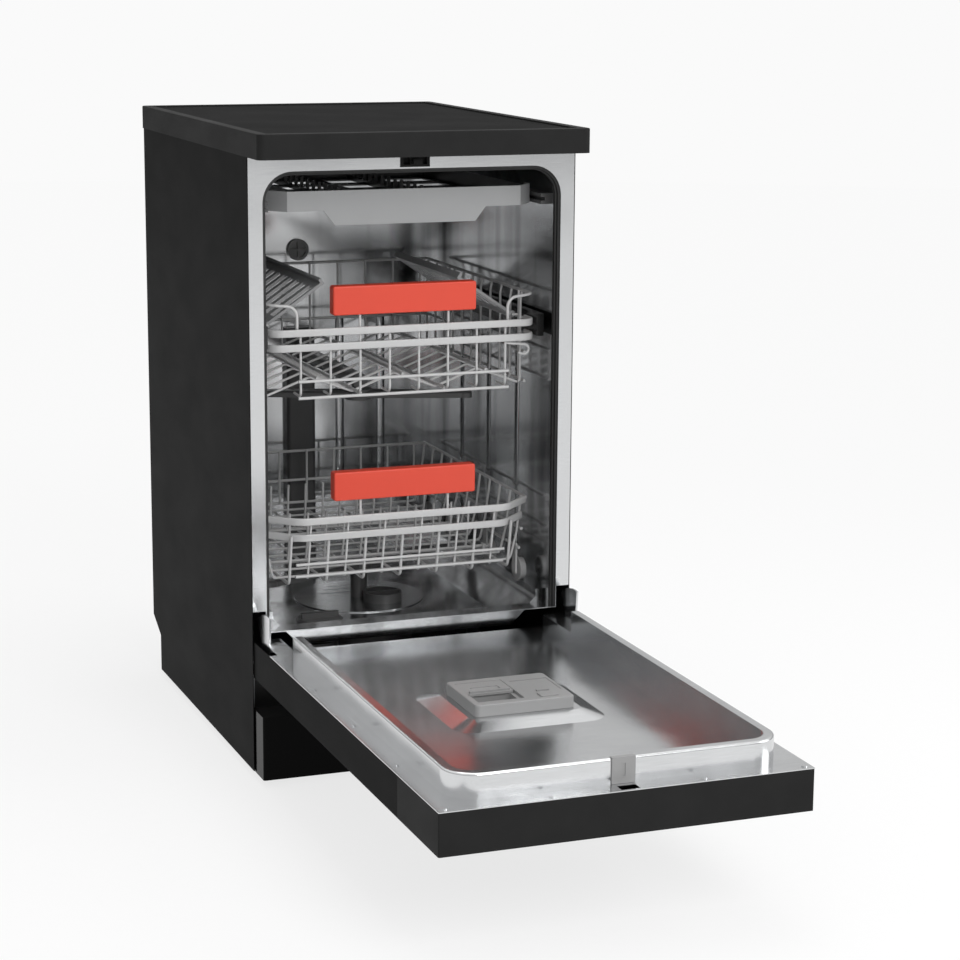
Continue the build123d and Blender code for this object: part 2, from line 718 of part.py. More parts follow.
def make_tub_gasket():
    """The rubber seal inside the mouth: a base strip with a bulb that meets the door's rim."""
    base = mouth(LIP_Z + FIT_GAP, -FIT_GAP / 2) - mouth(LIP_Z - 1, -GASKET_BASE)
    bulb = mouth(LIP_Z + FIT_GAP, -GASKET_BASE + 0.5) - mouth(LIP_Z - 1, -GASKET_BULB)
    return [along_y(base, 3, 18) + along_y(bulb, 7, 13)]


def make_hinge_brackets():
    """The cabinet's two hinge plates, each with the pin that carries the door."""
    top = PIVOT_Z + BOSS_RADIUS
    low = PIVOT_Z - BOSS_RADIUS
    bar = polygon(
        (PIVOT_Y, low), (18, low), (24, 40), (44, 40), (44, top - 10), (34, top), (PIVOT_Y, top)
    )
    plate = along_x(bar, BRACKET_X, BRACKET_X + BRACKET_THICK)
    plate += rod((BRACKET_X, PIVOT_Y, PIVOT_Z), (BRACKET_X + BRACKET_THICK, PIVOT_Y, PIVOT_Z), BOSS_RADIUS)
    plate += rod((ARM_X - 2, PIVOT_Y, PIVOT_Z), (BRACKET_X + 1, PIVOT_Y, PIVOT_Z), PIN_RADIUS)
    return mirrored(plate)


def leaf(low, high, radius):
    """A sector about the hinge in Y and Z, between two angles in degrees."""
    points = [(0, 0)]
    for degrees in steps(7, low, high):
        angle = math.radians(degrees)
        points.append((radius * math.cos(angle), radius * math.sin(angle)))
    return Pos(PIVOT_Y, PIVOT_Z) * polygon(*points)


def make_hinge_arms():
    """The door's two steel arms, each with a leaf that covers the gap beside the tub."""
    low = PIVOT_Z - BOSS_RADIUS
    strip = polygon(
        (PIVOT_Y, low),
        (PIVOT_Y, PIVOT_Z + 24),
        (PIVOT_Y - ARM_LENGTH, PIVOT_Z + 34),
        (PIVOT_Y - ARM_LENGTH, PIVOT_Z + 10),
        (PIVOT_Y - 40, low),
    )
    arm = along_x(strip, ARM_X, ARM_X + ARM_THICK)
    arm += along_x(leaf(56, 96, LEAF_RADIUS), ARM_X, ARM_X + ARM_THICK)
    arm += rod((ARM_X, PIVOT_Y, PIVOT_Z), (ARM_X + ARM_THICK, PIVOT_Y, PIVOT_Z), BOSS_RADIUS)
    for back in (ARM_LENGTH - 12, ARM_LENGTH - 70):
        y = PIVOT_Y - back
        z = PIVOT_Z + 21
        arm += rod((ARM_X + 1, y, z), (DOOR_HALF - SHEET - 0.1, y, z), 5)
    arm -= rod((ARM_X - 3, PIVOT_Y, PIVOT_Z), (ARM_X + 6, PIVOT_Y, PIVOT_Z), PIN_RADIUS + PIN_CLEARANCE)
    return mirrored(arm)


def make_sump():
    """The sump pot under the floor, with the hollow column that feeds and carries the lower arm."""
    top = FLOOR_Z - SHEET - 0.1
    low = top - SUMP_DEPTH
    pot = along_z(Circle(SUMP_RADIUS), low, top)
    pot -= along_z(Circle(SUMP_RADIUS - SUMP_WALL), low + SUMP_WALL, top + 1)
    column = along_z(Circle(HUB_RADIUS), low, LOWER_ARM_Z - MOVING_GAP)
    spigot = along_z(Circle(ARM_SPIGOT_RADIUS), low, LOWER_ARM_Z + ARM_SPIGOT_TALL)
    bore = along_z(Circle(ARM_BORE_RADIUS), low - 1, LOWER_ARM_Z + ARM_SPIGOT_TALL + 1)
    return [Pos(0, SUMP_Y, 0) * (pot + column + spigot - bore)]


def filter_place():
    """The middle of the coarse filter in plan, beside the arm's column."""
    return (FILTER_OFFSET * 0.6, SUMP_Y - FILTER_OFFSET * 0.8)


def make_fine_filter_plate():
    """The flat stainless strainer over the sump, with rows of slots."""
    z = (FLOOR_Z + FIT_GAP, FLOOR_Z + FIT_GAP + STRAINER_THICK)
    plate = Pos(0, SUMP_Y, 0) * along_z(Circle(SUMP_HOLE_RADIUS + STRAINER_BORDER), *z)
    plate -= Pos(0, SUMP_Y, 0) * along_z(Circle(HUB_RADIUS + FIT_GAP), z[0] - 1, z[1] + 1)
    x, y = filter_place()
    plate -= Pos(x, y, 0) * along_z(Circle(FILTER_RADIUS + MOVING_GAP), z[0] - 1, z[1] + 1)
    for row in range(3):
        at = SUMP_Y + 26 + row * 18
        reach = 52 - row * 12
        plate -= block((-reach, reach), (at - 1.5, at + 1.5), (z[0] - 1, z[1] + 1))
    return [plate]


def make_coarse_filter():
    """The cup-shaped coarse filter with a turning handle across its mouth."""
    x, y = filter_place()
    top = FLOOR_Z + FILTER_ABOVE
    low = FLOOR_Z - FILTER_BELOW
    cup = along_z(Circle(FILTER_RADIUS), low, top)
    cup -= along_z(Circle(FILTER_RADIUS - FILTER_WALL), low + FILTER_WALL, top + 1)
    slots = [
        Rot(0, 0, 30 * k) * block((-4, 4), (0, FILTER_RADIUS + 1), (low + 10, FLOOR_Z - 6)) for k in range(12)
    ]
    cup = cup.cut(*slots)
    grip = block((-FILTER_RADIUS + 1, FILTER_RADIUS - 1), (-2.5, 2.5), (top - 9, top))
    return [Pos(x, y, 0) * (cup + grip)]


def make_salt_cap():
    """The screw cap of the salt container, with a grip bar across it."""
    low = FLOOR_Z + FIT_GAP
    top = low + SALT_CAP_TALL
    cap = along_z(Circle(SALT_CAP_RADIUS), low, top)
    cap = chamfer(cap.edges().group_by(Axis.Z)[-1], 2)
    cap += along_z(rectangle((-SALT_CAP_RADIUS + 5, SALT_CAP_RADIUS - 5), (-4, 4), 3), top - 1, top + 7)
    cap += along_z(Circle(SALT_NECK_RADIUS - SALT_NECK_WALL), low - 14, low + 1)
    return [Pos(SALT_X, SALT_Y, 0) * cap]


def make_water_softener():
    """The softener tank under the floor, with the salt container's neck."""
    top = FLOOR_Z - SHEET - 0.1
    left = -HALF + SOFTENER_SIDE
    across = (left, -SUMP_RADIUS - 6)
    box = along_z(rectangle(across, (SALT_Y - 30, PUMP_Y), 12), BASE_FLOOR_Z + 6, SOFTENER_TOP_Z)
    box += Pos(SALT_X, SALT_Y, 0) * along_z(
        Circle(SALT_NECK_RADIUS), SOFTENER_TOP_Z - 10, FLOOR_Z + FIT_GAP / 2
    )
    well = Circle(SALT_NECK_RADIUS - SALT_NECK_WALL + FIT_GAP)
    box -= Pos(SALT_X, SALT_Y, 0) * along_z(well, top - 60, FLOOR_Z + 1)
    strut = block((left + 15, left + 85), (SALT_Y - 10, PUMP_Y - 30), (BASE_FLOOR_Z + 3, BASE_FLOOR_Z + 7))
    return [box + strut]


def make_circulation_pump():
    """The wash pump: a volute on a finned motor, standing in the base."""
    x = PUMP_X
    y = PUMP_Y
    z = PUMP_Z
    volute = rod((x - 44, y, z), (x - 14, y, z), VOLUTE_RADIUS)
    motor = rod((x - 15, y, z), (x - 15 + MOTOR_LENGTH, y, z), MOTOR_RADIUS)
    fins = [rod((x + k * 16, y, z), (x + k * 16 + 5, y, z), MOTOR_RADIUS + 4) for k in range(4)]
    outlet = rod((x - 30, y, z + 30), (x - 30, y, z + 78), 14)
    suction = rod((x - 60, y, z), (x - 43, y, z), 16)
    foot = block((x - 40, x + 60), (y - 20, y + 20), (BASE_FLOOR_Z + 3, z - 20))
    return [weld([volute, motor, *fins, outlet, suction, foot])]


def make_inlet_valve():
    """The water valve at the rear, its threaded nozzle passing through the base."""
    face = BASE_BACK - BASE_WALL
    body = block((INLET_X - 17, INLET_X + 17), (face - 46, face - 6), (INLET_Z - 17, INLET_Z + 30))
    flange = rod((INLET_X, face - 7, INLET_Z), (INLET_X, face - FIT_GAP, INLET_Z), 17)
    neck = rear_rod(INLET_X, -BASE_WALL - 1, 1, INLET_NECK_RADIUS)
    nozzle = rear_rod(INLET_X, 0, INLET_THREAD_LENGTH, INLET_THREAD_RADIUS)
    bore = rear_rod(INLET_X, -BASE_WALL - 4, INLET_THREAD_LENGTH + 1, INLET_BORE_RADIUS)
    coil = rod((INLET_X, face - 26, INLET_Z + 28), (INLET_X, face - 26, INLET_Z + 52), 13)
    return [weld([body, flange, neck, nozzle, coil]) - bore]


def make_feed_duct():
    """The upright water duct on the tub's back wall, with the port for the upper rack."""
    back = TUB_BACK - FIT_GAP
    front = TUB_BACK - DUCT_DEPTH
    outline = rectangle((-DUCT_HALF, DUCT_HALF), (front + 8, back), 6, "low")
    body = along_z(outline, FLOOR_Z + FIT_GAP, DUCT_TOP_Z)
    body = fillet(body.edges().filter_by(Axis.X).group_by(Axis.Z)[-1].sort_by(Axis.Y)[:1], 5)
    body += rod((0, front, FEED_Z), (0, front + 12, FEED_Z), DUCT_PORT_RADIUS)
    body -= rod((0, front - 1, FEED_Z), (0, front + 10, FEED_Z), FEED_RADIUS - FEED_WALL)
    return [body]


def make_vent_cap():
    """The round breather cap on the back wall, with a cross over its opening."""
    back = TUB_BACK - FIT_GAP
    reach = VENT_RADIUS - VENT_WALL + 0.5
    ring = rod((0, back - 6, VENT_Z), (0, back, VENT_Z), VENT_RADIUS)
    ring -= rod((0, back - 7, VENT_Z), (0, back - 2, VENT_Z), VENT_RADIUS - VENT_WALL)
    ring += block((-reach, reach), (back - 6, back - 1), (VENT_Z - 1.5, VENT_Z + 1.5))
    ring += block((-1.5, 1.5), (back - 6, back - 1), (VENT_Z - reach, VENT_Z + reach))
    return [ring]


def make_upper_rail_outers():
    """The two fixed channels, held off the tub's walls, in which the upper rack's slides run."""
    wall = RAIL_OUTER_X
    low = RAIL_Z - RAIL_TALL / 2
    high = RAIL_Z + RAIL_TALL / 2
    web = RAIL_WEB
    inner = wall - RAIL_DEPTH
    section = polygon(
        (wall, low), (wall, high), (inner, high), (inner, high - RAIL_LIP), (inner + web, high - RAIL_LIP),
        (inner + web, high - web), (wall - web, high - web), (wall - web, low + web),
        (inner + web, low + web), (inner + web, low + RAIL_LIP), (inner, low + RAIL_LIP), (inner, low),
    )
    channel = along_y(section, RAIL_FRONT, RAIL_FRONT + RAIL_LENGTH)
    standoffs = [
        rod((wall - web, y, RAIL_Z), (MOUTH_HALF - FIT_GAP / 2, y, RAIL_Z), STANDOFF_RADIUS)
        for y in steps(3, RAIL_FRONT + STANDOFF_INSET, RAIL_FRONT + RAIL_LENGTH - STANDOFF_INSET)
    ]
    return mirrored(weld([channel, *standoffs]))


def make_upper_rail_slides():
    """The two moving slides, running in the channels and bolted to the upper rack."""
    wall = RAIL_OUTER_X
    low = RAIL_Z - RAIL_TALL / 2
    high = RAIL_Z + RAIL_TALL / 2
    gap = MOVING_GAP
    web = RAIL_WEB
    head = wall - web - gap
    neck = wall - RAIL_DEPTH - gap
    face = UPPER_HALF + 1.4
    section = polygon(
        (head, low + web + gap), (head, high - web - gap),
        (neck + web + 2 * gap, high - web - gap), (neck + web + 2 * gap, high - RAIL_LIP - gap),
        (face, high - RAIL_LIP - gap), (face, low + RAIL_LIP + gap),
        (neck + web + 2 * gap, low + RAIL_LIP + gap), (neck + web + 2 * gap, low + web + gap),
    )
    start = RAIL_FRONT + SLIDE_SETBACK
    slide = along_y(section, start, start + SLIDE_LENGTH)
    cap_front = RAIL_FRONT - MOVING_GAP - RAIL_CAP_THICK
    cap = block((UPPER_HALF + 1, wall - 1), (cap_front, RAIL_FRONT - MOVING_GAP), (low, high))
    inside = (low + RAIL_LIP + gap, high - RAIL_LIP - gap)
    neck_bar = block((face, face + 3), (RAIL_FRONT - 1, start + 1), inside)
    pads = [
        block((UPPER_HALF + FIT_GAP, face + 1), (y, y + 16), (RAIL_Z - 6, RAIL_Z + 6))
        for y in (RAIL_FRONT + 60, RAIL_FRONT + 320)
    ]
    return mirrored(weld([slide, cap, neck_bar, *pads]))


def make_tray_rails():
    """The two fixed channels near the tub's ceiling in which the cutlery tray runs."""
    wall = MOUTH_HALF - FIT_GAP / 2
    low = TRAY_RAIL_Z - TRAY_RAIL_TALL / 2
    high = TRAY_RAIL_Z + TRAY_RAIL_TALL / 2
    slot = TRAY_FLANGE / 2 + MOVING_GAP
    section = polygon(
        (wall, low), (wall, high), (TRAY_RAIL_INNER, high), (TRAY_RAIL_INNER, TRAY_RAIL_Z + slot),
        (TRAY_RAIL_INNER + TRAY_RAIL_SLOT, TRAY_RAIL_Z + slot),
        (TRAY_RAIL_INNER + TRAY_RAIL_SLOT, TRAY_RAIL_Z - slot),
        (TRAY_RAIL_INNER, TRAY_RAIL_Z - slot), (TRAY_RAIL_INNER, low),
    )
    return mirrored(along_y(section, TRAY_RAIL_FRONT, TRAY_RAIL_FRONT + TRAY_RAIL_LENGTH))


def make_door_outer_panel():
    """The painted outer sheet of the door with its folded sides."""
    front = -DOOR_SEAM
    end = DOOR_LOWER_END
    face = block((-DOOR_HALF, DOOR_HALF), (front, end), (DOOR_OUTER_Z, DOOR_OUTER_Z + SHEET))
    top = DOOR_FLANGE_Z - SHEET - FIT_GAP
    side = block((DOOR_HALF - SHEET, DOOR_HALF), (front, end), (DOOR_OUTER_Z, top))
    under_pan = PAN_Z - SHEET - FIT_GAP
    lower = block((-NOTCH_HALF, NOTCH_HALF), (end - SHEET, end), (DOOR_OUTER_Z, under_pan))
    return [weld([face, *mirrored(side), lower])]


def make_control_panel():
    """The moulded fascia at the door's top: button holes, window seat and grip recess."""
    back = -DOOR_SEAM - SEAM_GAP
    top = DOOR_FLANGE_Z - SHEET - FIT_GAP
    outline = rectangle((-DOOR_HALF, DOOR_HALF), (-DOOR_REACH, back), 2.0, "low")
    shell = along_z(outline, DOOR_OUTER_Z, top)
    inside = block(
        (-DOOR_HALF + FASCIA_WALL, DOOR_HALF - FASCIA_WALL),
        (-DOOR_REACH + FASCIA_WALL, back + 1),
        (DOOR_OUTER_Z + FASCIA_WALL, top + 1),
    )
    shell -= inside
    pocket = along_z(grip_outline(FASCIA_WALL), DOOR_OUTER_Z, DOOR_OUTER_Z + GRIP_DEPTH + FASCIA_WALL)
    shell += pocket
    shell -= along_z(grip_outline(0), DOOR_OUTER_Z - 1, DOOR_OUTER_Z + GRIP_DEPTH)
    for x in BUTTON_XS:
        shell -= Pos(x, BUTTON_Y, 0) * along_z(
            Circle(BUTTON_RADIUS + BUTTON_GAP), DOOR_OUTER_Z - 1, DOOR_OUTER_Z + FASCIA_WALL + 1
        )
    shell -= along_z(display_outline(FIT_GAP), DOOR_OUTER_Z - 1, DOOR_OUTER_Z + DISPLAY_THICK)
    return [shell]


def grip_outline(grow):
    """The plan of the grip recess, grown by a wall."""
    half_x = GRIP_WIDTH / 2 + grow
    half_y = GRIP_HEIGHT / 2 + grow
    x = (GRIP_X - half_x, GRIP_X + half_x)
    return rectangle(x, (BUTTON_Y - half_y, BUTTON_Y + half_y), GRIP_CORNER + grow)


def display_outline(grow):
    """The plan of the display window."""
    half_x = DISPLAY_WIDTH / 2 + grow
    half_y = DISPLAY_HEIGHT / 2 + grow
    x = (DISPLAY_X - half_x, DISPLAY_X + half_x)
    return rectangle(x, (BUTTON_Y - half_y, BUTTON_Y + half_y), 3)


def make_display_window():
    """The dark window of the display, flush with the fascia."""
    return [along_z(display_outline(0), DOOR_OUTER_Z, DOOR_OUTER_Z + DISPLAY_THICK - 0.05)]


def make_button(x):
    """One push button, with the collar that keeps it behind the fascia."""
    low = DOOR_OUTER_Z - BUTTON_PROUD
    collar = DOOR_OUTER_Z + FASCIA_WALL + BUTTON_GAP
    cap = along_z(Circle(BUTTON_RADIUS), low, collar + 1)
    cap = fillet(cap.edges().group_by(Axis.Z)[0], 0.8)
    ring = along_z(Circle(BUTTON_RADIUS + BUTTON_COLLAR), collar, collar + 1.5)
    return [Pos(x, BUTTON_Y, 0) * (cap + ring)]


def pan_outline(grow):
    """The plan of the liner's pan, open at the hinge end."""
    half = RIM_HALF - RIM_WIDTH + grow
    front = -RIM_FRONT + RIM_WIDTH - grow
    return rectangle((-half, half), (front, DOOR_LOWER_END + grow), RIM_CORNER - RIM_WIDTH + grow, "low")


def rim_outline(inset):
    """The plan of the raised rim round the pan."""
    half = RIM_HALF - inset
    return rectangle(
        (-half, half), (-RIM_FRONT + inset, -RIM_REAR - inset), RIM_CORNER - inset, "low"
    )


def plateau_outline(grow):
    """The plan of the pressed plateau under the dispenser."""
    half_x = DISP_WIDTH / 2 + grow
    half_y = DISP_LENGTH / 2 + grow
    x = (DISP_X - half_x, DISP_X + half_x)
    return rectangle(x, (DISP_Y - half_y, DISP_Y + half_y), 10 + grow / 2)


def frustum(base_grow, top_grow, low, high):
    """A sloping pressing between the plateau's foot and its top."""
    foot = Pos(0, 0, low) * plateau_outline(base_grow)
    return loft([foot, Pos(0, 0, high) * plateau_outline(top_grow)])


def screw_places():
    """Where the screws hold the liner's flange, in plan."""
    front = DOOR_REACH - SCREW_INSET
    backs = [front - SCREW_PITCH * k for k in range(4)]
    sides = [(side * (DOOR_HALF - SCREW_INSET), -y) for side in (-1, 1) for y in backs]
    return sides + [(-SCREW_FRONT_X, -front), (SCREW_FRONT_X, -front)]


def make_door_inner_liner():
    """The pressed steel liner: flange, hollow rim, pan, dispenser plateau and latch slot."""
    skin = SHEET
    flange_z = (DOOR_FLANGE_Z - skin, DOOR_FLANGE_Z)
    flange = block((-DOOR_HALF, DOOR_HALF), (-DOOR_REACH, -NOTCH_FRONT), flange_z)
    flange += block((-NOTCH_HALF, NOTCH_HALF), (-NOTCH_FRONT - 1, DOOR_LOWER_END), flange_z)
    rim = along_z(rim_outline(0), flange_z[0], RIM_TOP_Z)
    rim = fillet(rim.edges().group_by(Axis.Z)[-1].sort_by(Axis.Y)[:-1], 3.0)
    hollow = along_z(rim_outline(skin), flange_z[0] - 1, RIM_TOP_Z - skin)
    pan = along_z(pan_outline(0), PAN_Z, RIM_TOP_Z + 1)
    pan_skin = along_z(pan_outline(skin), PAN_Z - skin, RIM_TOP_Z - 0.5)
    behind = block((-HALF, HALF), (DOOR_LOWER_END, DOOR_LOWER_END + 10), (PAN_Z - 5, RIM_TOP_Z + 5))
    above = block((-HALF, HALF), (-RIM_REAR, DOOR_LOWER_END + 10), (DOOR_FLANGE_Z, RIM_TOP_Z + 5))
    liner = flange + rim - hollow + (pan_skin - behind - above) - pan
    plateau = frustum(PLATEAU_MARGIN, 8, PAN_Z - 0.2, PAN_Z + PLATEAU_HEIGHT)
    under = frustum(PLATEAU_MARGIN - skin, 8 - skin, PAN_Z - skin - 0.2, PAN_Z + PLATEAU_HEIGHT - skin)
    liner = liner + plateau - under
    liner -= along_z(plateau_outline(-2), PAN_Z - 5, PAN_Z + PLATEAU_HEIGHT + 5)
    liner -= block((-11, 11), (-DOOR_REACH + 3, -RIM_FRONT - 9), (flange_z[0] - 1, flange_z[1] + 1))
    for x, y in screw_places():
        liner -= Pos(x, y, 0) * along_z(Circle(SCREW_HOLE_RADIUS), flange_z[0] - 1, flange_z[1] + 1)
    return [liner]


def make_door_screws():
    """The pan-head screws along the liner's flange."""
    screw = along_z(Circle(SCREW_HEAD_RADIUS), DOOR_FLANGE_Z, DOOR_FLANGE_Z + SCREW_HEAD_TALL)
    screw += along_z(Circle(SCREW_SHANK_RADIUS), DOOR_FLANGE_Z - 6, DOOR_FLANGE_Z + 1)
    return [Pos(x, y, 0) * screw for x, y in screw_places()]


def make_latch_striker():
    """The plate on the rim's front that guides the catch, folded over the rim's top."""
    front = -RIM_FRONT
    x = (-STRIKER_HALF, STRIKER_HALF)
    face = front - FIT_GAP - STRIKER_THICK
    top = RIM_TOP_Z + 1.2
    plate = block(x, (face, front - FIT_GAP), (DOOR_FLANGE_Z + FIT_GAP, top))
    lip = block(x, (face, front + 5), (RIM_TOP_Z + FIT_GAP, top))
    groove = block((-2, 2), (face - 1, face + 0.8), (DOOR_FLANGE_Z + 8, RIM_TOP_Z - 6))
    return [plate + lip - groove]


def make_dispenser_housing():
    """The dispenser's body: detergent cup, lid rails, rinse-aid seat and button hole."""
    x0 = DISP_X - DISP_WIDTH / 2
    x1 = DISP_X + DISP_WIDTH / 2
    y0 = DISP_Y - DISP_LENGTH / 2
    y1 = DISP_Y + DISP_LENGTH / 2
    seat = PAN_Z + PLATEAU_HEIGHT + FIT_GAP
    cap = along_z(rectangle((x0, x1), (y0, y1), 6), seat, DISP_TOP_Z)
    cap = fillet(cap.edges().group_by(Axis.Z)[-1], 1.5)
    inset = DISP_SHOULDER
    below = rectangle((x0 + inset, x1 - inset), (y0 + inset, y1 - inset), 6)
    body = along_z(below, DISP_BOTTOM_Z, seat + 1)
    housing = cap + body
    housing -= along_z(cup_outline(0), DISP_TOP_Z - CUP_DEPTH, DISP_TOP_Z + 1)
    bed = DISP_TOP_Z - LID_THICK - LID_BED_GAP
    housing -= along_z(lid_bed(), bed, DISP_TOP_Z + 1)
    housing -= along_z(rinse_outline(MOVING_GAP), bed, DISP_TOP_Z + 1)
    plug_hole = Circle(RINSE_PLUG_RADIUS + LID_BED_GAP)
    housing -= along_z(Pos(RINSE_X, RINSE_Y) * plug_hole, DISP_TOP_Z - CUP_DEPTH, DISP_TOP_Z + 1)
    housing -= along_z(button_outline(BUTTON_GAP), DISP_TOP_Z - 8, DISP_TOP_Z + 1)
    housing -= rinse_hinge(RINSE_PIN_LENGTH + MOVING_GAP, RINSE_PIN_RADIUS + PIN_CLEARANCE)
    return [housing]


def cup_outline(grow):
    """The plan of the detergent cup."""
    return rectangle(
        (LID_X - LID_HALF + 5 - grow, LID_X + LID_HALF - 5 + grow), (CUP_FRONT + 3, CUP_FRONT + 38), 6
    )


def lid_bed():
    """The plan of the bed in which the detergent lid slides."""
    return rectangle(
        (LID_X - LID_HALF - MOVING_GAP, LID_X + LID_HALF + MOVING_GAP),
        (CUP_FRONT, LID_FRONT_OPEN + LID_LENGTH + MOVING_GAP),
        2,
    )


def rinse_outline(grow):
    """The plan of the rinse-aid lid's pocket, rounded at the front corners."""
    return rectangle(
        (RINSE_X - RINSE_HALF_X - grow, RINSE_X + RINSE_HALF_X + grow),
        (RINSE_Y - RINSE_HALF_Y - grow, RINSE_Y + RINSE_HALF_Y + grow),
        3,
        "low",
    )


def rinse_hinge(beyond, radius):
    """A round bar on the rinse-aid lid's hinge line, reaching past both of the lid's sides."""
    reach = RINSE_HALF_X + beyond
    ends = [(RINSE_X + side * reach, RINSE_HINGE_Y, RINSE_HINGE_Z) for side in (-1, 1)]
    return rod(*ends, radius)


def button_outline(grow):
    """The plan of the dispenser's release button."""
    x = RINSE_X
    y = DISP_Y - DISP_LENGTH / 2 + 16
    return rectangle((x - 12 - grow, x + 12 + grow), (y - 8 - grow, y + 8 + grow), 3)


def make_detergent_lid():
    """The sliding lid, standing open, with a finger ridge and a sunk window."""
    low = LID_LOW_Z
    x = (LID_X - LID_HALF, LID_X + LID_HALF)
    y = (LID_FRONT_OPEN, LID_FRONT_OPEN + LID_LENGTH)
    lid = along_z(rectangle(x, y, 2), low, low + LID_THICK)
    top = low + LID_THICK
    lid += block((x[0] + 4, x[1] - 4), (y[0] + 2, y[0] + 6), (top - 0.5, top + 2.5))
    lid -= block((x[0] + 12, x[1] - 12), (y[0] + 12, y[0] + 26), (top - 1, top + 1))
    return [lid]


def make_rinse_aid_lid():
    """The hinged rinse-aid lid with its finger tab, its plug and its rounded, pinned rear edge."""
    low = LID_LOW_Z
    top = low + LID_THICK
    behind = block((-HALF, HALF), (RINSE_HINGE_Y, 0), (low - 1, top + 1))
    lid = along_z(rinse_outline(0), low, top) - behind
    lid += rinse_hinge(0, LID_THICK / 2)
    lid += rinse_hinge(RINSE_PIN_LENGTH, RINSE_PIN_RADIUS)
    lid += along_z(Pos(RINSE_X, RINSE_Y) * Circle(RINSE_PLUG_RADIUS), low - 4, low + 1)
    tab_y = RINSE_Y - RINSE_HALF_Y
    lid += block((RINSE_X - 8, RINSE_X + 8), (tab_y + 1, tab_y + 5), (top - 0.5, top + 2))
    return [lid]


def make_dispenser_button():
    """The button that frees the detergent lid."""
    button = along_z(button_outline(0), DISP_TOP_Z - 5, DISP_TOP_Z + 1.5)
    return [fillet(button.edges().group_by(Axis.Z)[-1], 0.6)]


def lower_half(z):
    """Half the lower rack's width at a height, as its sides lean outwards."""
    share = (z - LOWER_BASE_Z) / (LOWER_TOP_Z - LOWER_BASE_Z)
    return LOWER_BASE_HALF + (LOWER_TOP_HALF - LOWER_BASE_HALF) * share


def lower_front(z):
    """The lower rack's front plane at a height, as it leans outwards."""
    middle = LOWER_TOP_Z - BAR_TALL / 2
    share = (z - LOWER_BASE_Z) / (middle - LOWER_BASE_Z)
    return RACK_FRONT + BAR_THICK + WIRE / 2 - WELD + LOWER_SETBACK * (1 - share)


def upright_places(corner, back):
    """Where a rack's side uprights and the floor wires that meet them stand along Y."""
    return steps(UPRIGHTS, RACK_FRONT + corner + 8, back - 14)


def lower_floor_half():
    """Half the width of the lower rack's floor wires, between the side uprights."""
    return LOWER_BASE_HALF - 2 * WIRE + WELD - 2 * FIT_GAP


def lower_floor_lines():
    """Where the long wires of the lower rack's floor lie across."""
    edge = lower_floor_half() - FLOOR_EDGE
    return steps(FLOOR_LINES, -edge, edge)


def tine_clip(x, setback):
    """A plate on a long floor wire, with the hole in which a tine row's rod turns."""
    y = RACK_FRONT + setback
    z = tine_rod_z()
    across = (x - WIRE / 2, x + WIRE / 2)
    plate = block(across, (y - CLIP_HALF, y + CLIP_HALF), (LOWER_BASE_Z, z + CLIP_ABOVE))
    return plate - rod((x - WIRE, y, z), (x + WIRE, y, z), WIRE / 2 + SHELF_ROD_CLEARANCE)


def make_lower_rack_floor():
    """The lower rack's floor grid: long wires below, cross wires on them and the tine clips."""
    low = LOWER_BASE_Z
    high = low + WIRE - WELD
    front = lower_front(low) + WIRE + FIT_GAP
    back = LOWER_BACK - 2 * WIRE - FIT_GAP
    half = lower_floor_half()
    lines = lower_floor_lines()
    bars = [wire((x, front, low), (x, back, low)) for x in lines]
    places = upright_places(LOWER_CORNER, LOWER_BACK)
    bars += [wire((-half, y, high), (half, y, high)) for y in places]
    bars += [tine_clip(x, setback) for setback in TINE_SETBACKS for x in (lines[0], lines[-1])]
    return [weld(bars)]


def lower_side_levels():
    """The heights of the three long wires of the lower rack's sides."""
    low = LOWER_BASE_Z + WIRE / 2
    top = LOWER_TOP_Z - WIRE / 2
    return (low, (low + top) / 2, top)


def make_lower_rack_sides():
    """The leaning side grids, with lugs and axle pins for the wheels."""
    front = RACK_FRONT + LOWER_CORNER + WIRE / 2
    back = LOWER_BACK - WIRE / 2
    levels = lower_side_levels()
    low = levels[0]
    top = levels[-1]
    bars = [wire((lower_half(z), front, z), (lower_half(z), back, z)) for z in levels]
    shift = WIRE - WELD
    for y in upright_places(LOWER_CORNER, LOWER_BACK):
        bars.append(wire((lower_half(low) - shift, y, low), (lower_half(top) - shift, y, top)))
    inner = WHEEL_INNER_X - MOVING_GAP - LUG_THICK
    for setback in WHEEL_SETBACKS:
        y = RACK_FRONT + setback
        across = (inner, inner + LUG_THICK)
        along = (y - LUG_WIDTH / 2, y + LUG_WIDTH / 2)
        bars.append(block(across, along, (WHEEL_Z - LUG_WIDTH / 2, LOWER_BASE_Z + LUG_RISE)))
        bars.append(rod((inner + 1, y, WHEEL_Z), (wheel_outer() + AXLE_END, y, WHEEL_Z), AXLE_RADIUS))
    return mirrored(weld(bars))


def wheel_outer():
    """How far out a wheel's outer face lies."""
    return WHEEL_INNER_X + WHEEL_FLANGE_WIDTH + WHEEL_WIDTH


